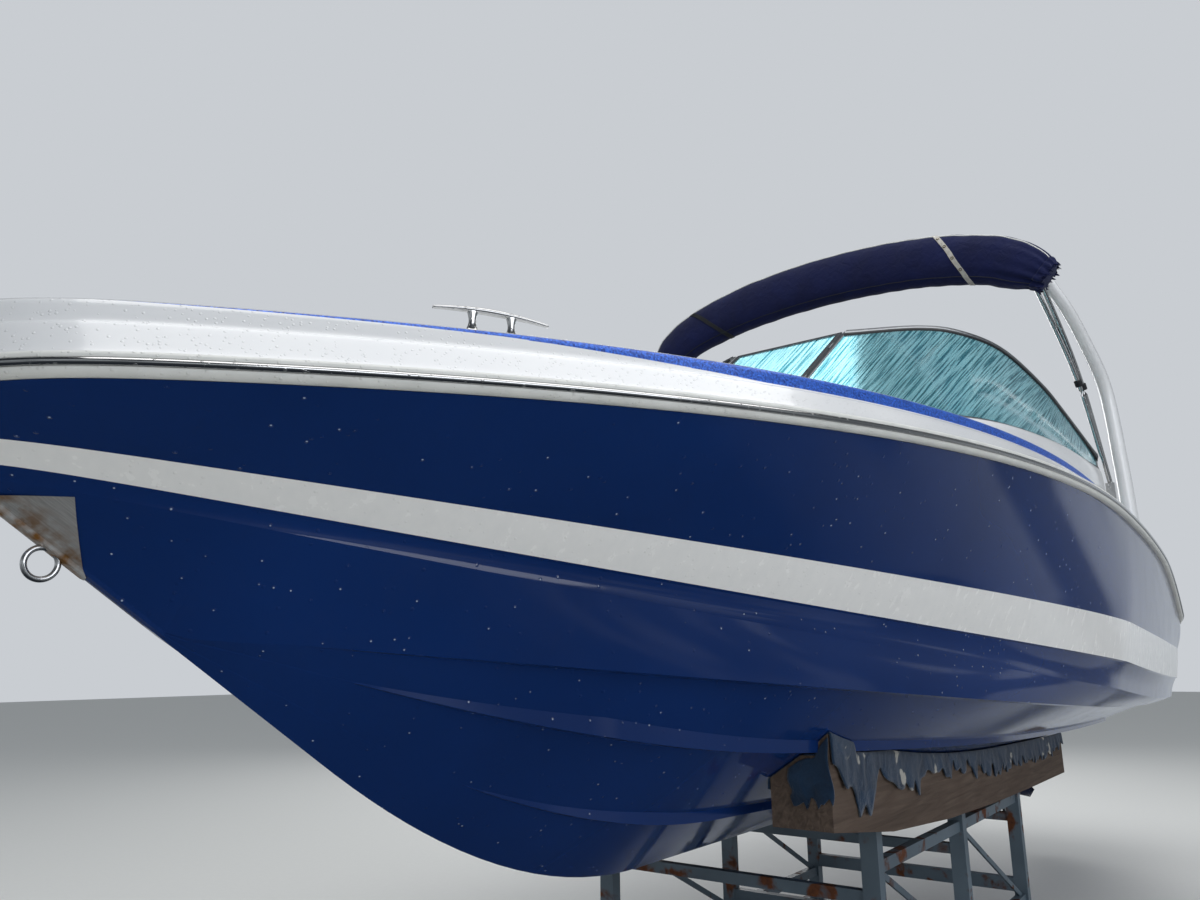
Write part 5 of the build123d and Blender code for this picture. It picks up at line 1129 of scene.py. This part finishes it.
# bunk carpet: dense short pile in faded navy, matted, with dried white paint and dirt in it; the
# pile is drawn at 3 mm, three times its real size, so that it shows
woolly = {"Roughness": 1.0, "Sheen Weight": 0.3, "Specular IOR Level": 0.1}
pile, tree, place, _ = material("matted_marine_carpet", woolly)
tuft = add(tree, "TexNoise", {"Scale": 330.0, "Detail": 3.0, "Vector": place})
mat = add(tree, "TexNoise", {"Scale": 12.0, "Detail": 6.0, "Distortion": 0.7, "Vector": place})
crust = add(tree, "TexNoise", {"Scale": 6.5, "Detail": 9.0, "Distortion": 0.5, "Vector": place})
shaded(tree, crust, shaded(tree, mat, "#081220", "#25405c"), "#a8a59c", span=(0.64, 0.66))
height = add(tree, "Math", {"operation": "MULTIPLY_ADD", 0: mat, 1: 6.0, 2: tuft})
add(tree, "Bump", {"Height": height, "Distance": 0.002}, 0, "Normal")

BUNK_AFT, BUNK_FORE, BUNK_IN, BUNK_OUT = 1.500, 4.780, 0.440, 0.630
OVERHANG, PILE_UNDER, PILE_THICK, RAG_THICK, RAG_WIDE = 0.004, 0.008, 0.005, 0.004, 0.13
x = np.linspace(BUNK_AFT + OVERHANG, BUNK_FORE - 0.001, 330)
rows = hull_lines(x)
torn = np.random.default_rng(9)
ragged = 0.0
for wave in range(14):
    pitch, phase = torn.uniform(3, 110), torn.uniform(0, 2 * pi)
    ragged = ragged + np.sin(pitch * x + phase) / (1 + pitch / 30)
HANGS, RAGGED_BY, BOW_FLAP, LEAST, MOST, MISSING_SHARE = 0.082, 0.018, 0.095, 0.025, 0.185, 0.6
near_bow = np.exp(-(((x - 4.58) / 0.16) ** 2))
drop = np.clip(HANGS + RAGGED_BY * ragged + BOW_FLAP * near_bow, LEAST, MOST)
missing = np.exp(-(((x - 4.40) / 0.05) ** 2)) + 0.7 * np.exp(-(((x - 3.9) / 0.09) ** 2))
drop = np.clip(drop * (1 - MISSING_SHARE * missing), 0.020, MOST)
stations = np.array(rows[:8])
tops = []
for y in np.linspace(BUNK_IN - OVERHANG, BUNK_OUT + OVERHANG, 9):
    under = np.array([np.interp(y, stations[:, 0, k], stations[:, 1, k]) for k in range(len(x))])
    tops.append(np.stack([x - MID, np.full(len(x), y), under + KEEL - PILE_UNDER], -1))
tops = np.array(tops)
sway = 0.003 * np.sin(31 * x) + 0.002 * np.sin(87 * x + 1)
falls = []
for share in np.linspace(0.06, 1, 9):
    last = tops[-1].copy()
    last[:, 1] += 0.002 + (0.003 + sway) * share
    last[:, 2] -= drop * share
    falls.append(last)
inner = []
for share in np.linspace(1, 0.1, 5):
    first = tops[0].copy()
    first[:, 1] -= 0.002 + (0.002 + sway) * share
    first[:, 2] -= 0.5 * drop[::-1] * share
    inner.append(first)
drape = np.concatenate([np.array(inner), tops, np.array(falls)])
cloths = []
for tag, sign in SIDES:
    made = sheet_mesh(f"bunk_carpet_{tag}", drape * [1, sign, 1], [pile], flip=sign > 0, crease=70)
    wall = made.modifiers.new("pile", "SOLIDIFY")
    wall.thickness, wall.offset = PILE_THICK, 0.0
    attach(made, "boat")
    cloths.append(made)
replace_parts(cloths[0], "bunk_carpet")

# Rag of the same carpet, torn loose at the port bunk's forward end and hanging down its face
share = np.linspace(0, 1, 30)[:, None]
across = np.linspace(0, 1, 16)[None]
edge = 0.030 * torn.uniform(0, 1, (1, 16)) + 0.012 * np.sin(9 * across + 1)
fall = share * (0.150 - 0.070 * across + edge)
y = BUNK_OUT - RAG_WIDE * across - 0.012 * np.sin(6 * share) * share
start = np.interp(BUNK_OUT - RAG_WIDE * across, tops[:, -1, 1], tops[:, -1, 2])
x = BUNK_FORE - MID + 0.002 + 0.004 * share * (1 + np.sin(14 * across + 5 * share)) / 2
rag = sheet_mesh("bunk_rag_port", np.stack([x, y, start - 0.010 - fall], -1), [pile], crease=70)
wall = rag.modifiers.new("pile", "SOLIDIFY")
wall.thickness, wall.offset = RAG_THICK, 0.0
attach(rag, "boat")

# Studio: a plain pale floor, flat and far wider than the boat, and soft lights as large as the boat
matt = {"Roughness": 0.75, "IOR": 1.45}
pale = material("studio_floor", matt, (30.0, 4.0), "#d9d9d6", "#dededb")[0]
span = np.linspace(-40, 40, 5)
floor_grid = np.stack(np.meshgrid(span, span, [0.0], indexing="ij"), -1)
ground = sheet_mesh("studio_ground", floor_grid[:, :, 0, :], [pale])
ground.visible_glossy = False

# the surround is pale to the eye and fills the shadows softly, while mirrored surfaces see a darker
# room with soft pale shapes low round its walls, so that polished gelcoat shows its curves
world = bpy.data.worlds.new("studio_world")
bpy.context.scene.world = world
bpy.context.scene.view_settings.view_transform = "Standard"
world.use_nodes = True
tree = world.node_tree
seen = add(tree, "LightPath", {}, 0)
mirrored = add(tree, "LightPath", {}, 3)
way = add(tree, "TexCoord", {}, 0)
steep = add(tree, "Math", {"operation": "ABSOLUTE", 0: add(tree, "SeparateXYZ", {"Vector": way}, 2)})
low_down = add(tree, "MapRange", {"Value": steep, "From Min": 0.75, "From Max": 0.0})
shapes = add(tree, "TexNoise", {"Scale": 2.6, "Detail": 1.0, "Distortion": 0.8, "Vector": way})
shapes = add(tree, "MapRange", {"Value": shapes, "From Min": 0.47, "From Max": 0.56, "To Min": 0.3})
lit = add(tree, "Math", {"operation": "MULTIPLY", 0: low_down, 1: shapes})
room = add(tree, "Mix", {"data_type": "RGBA", 0: lit, 6: linear("#2b3036"), 7: linear("#bcc2c8")}, 2)
fill = add(tree, "Mix", {"data_type": "RGBA", 0: mirrored, 6: linear("#a4a9ae"), 7: room}, 2)
pale_wall = add(tree, "Mix", {"data_type": "RGBA", 0: seen, 6: fill, 7: linear("#c9cdd2")}, 2)
tree.links.new(pale_wall, tree.nodes["Background"].inputs["Color"])
tree.nodes["Background"].inputs["Strength"].default_value = 1.0


def soft_light(name, place, aim, wide, tall, watts, code):
    """A rectangular light at a place, turned to face a point."""
    lamp = bpy.data.lights.new(name, "AREA")
    lamp.shape, lamp.size, lamp.size_y, lamp.energy = "RECTANGLE", wide, tall, watts
    lamp.color = linear(code)[:3]
    made = shown(name, lamp)
    made.location = place
    made.rotation_euler = (Vector(aim) - Vector(place)).to_track_quat("-Z", "Y").to_euler()


soft_light("overhead", (1.0, 1.5, 7.5), (0, 0, 1.2), 9.0, 6.0, 370, "#ffffff")
soft_light("port_side", (3.0, 8.0, 4.0), (0, 0, 1.2), 7.0, 4.0, 200, "#f4f7ff")
soft_light("astern", (-7.5, -5.0, 5.0), (0, 0, 1.2), 5.0, 4.0, 240, "#ffffff")

# Camera: stands low and close off the port bow, with a wide lens
LENS, SENSOR, EYE_AT = 27.0, 36.0, (3.882, 1.728, 1.2695)
YAW, PITCH, ROLL = radians(36.494), radians(13.403), radians(-0.528)
ahead = Vector((-cos(YAW) * cos(PITCH), -sin(YAW) * cos(PITCH), sin(PITCH)))
right = Vector((-sin(YAW), cos(YAW), 0))
upward = right.cross(ahead)
level_right = right * cos(ROLL) + upward * sin(ROLL)
level_up = upward * cos(ROLL) - right * sin(ROLL)
view = bpy.data.cameras.new("viewpoint")
view.lens, view.sensor_width, view.sensor_fit, view.clip_start = LENS, SENSOR, "HORIZONTAL", 0.02
eye = shown("viewpoint", view)
turned = Matrix((level_right, level_up, -ahead)).transposed().to_4x4()
turned.translation = Vector(EYE_AT)
eye.matrix_world = turned
bpy.context.scene.camera = eye

bpy.context.view_layer.update()
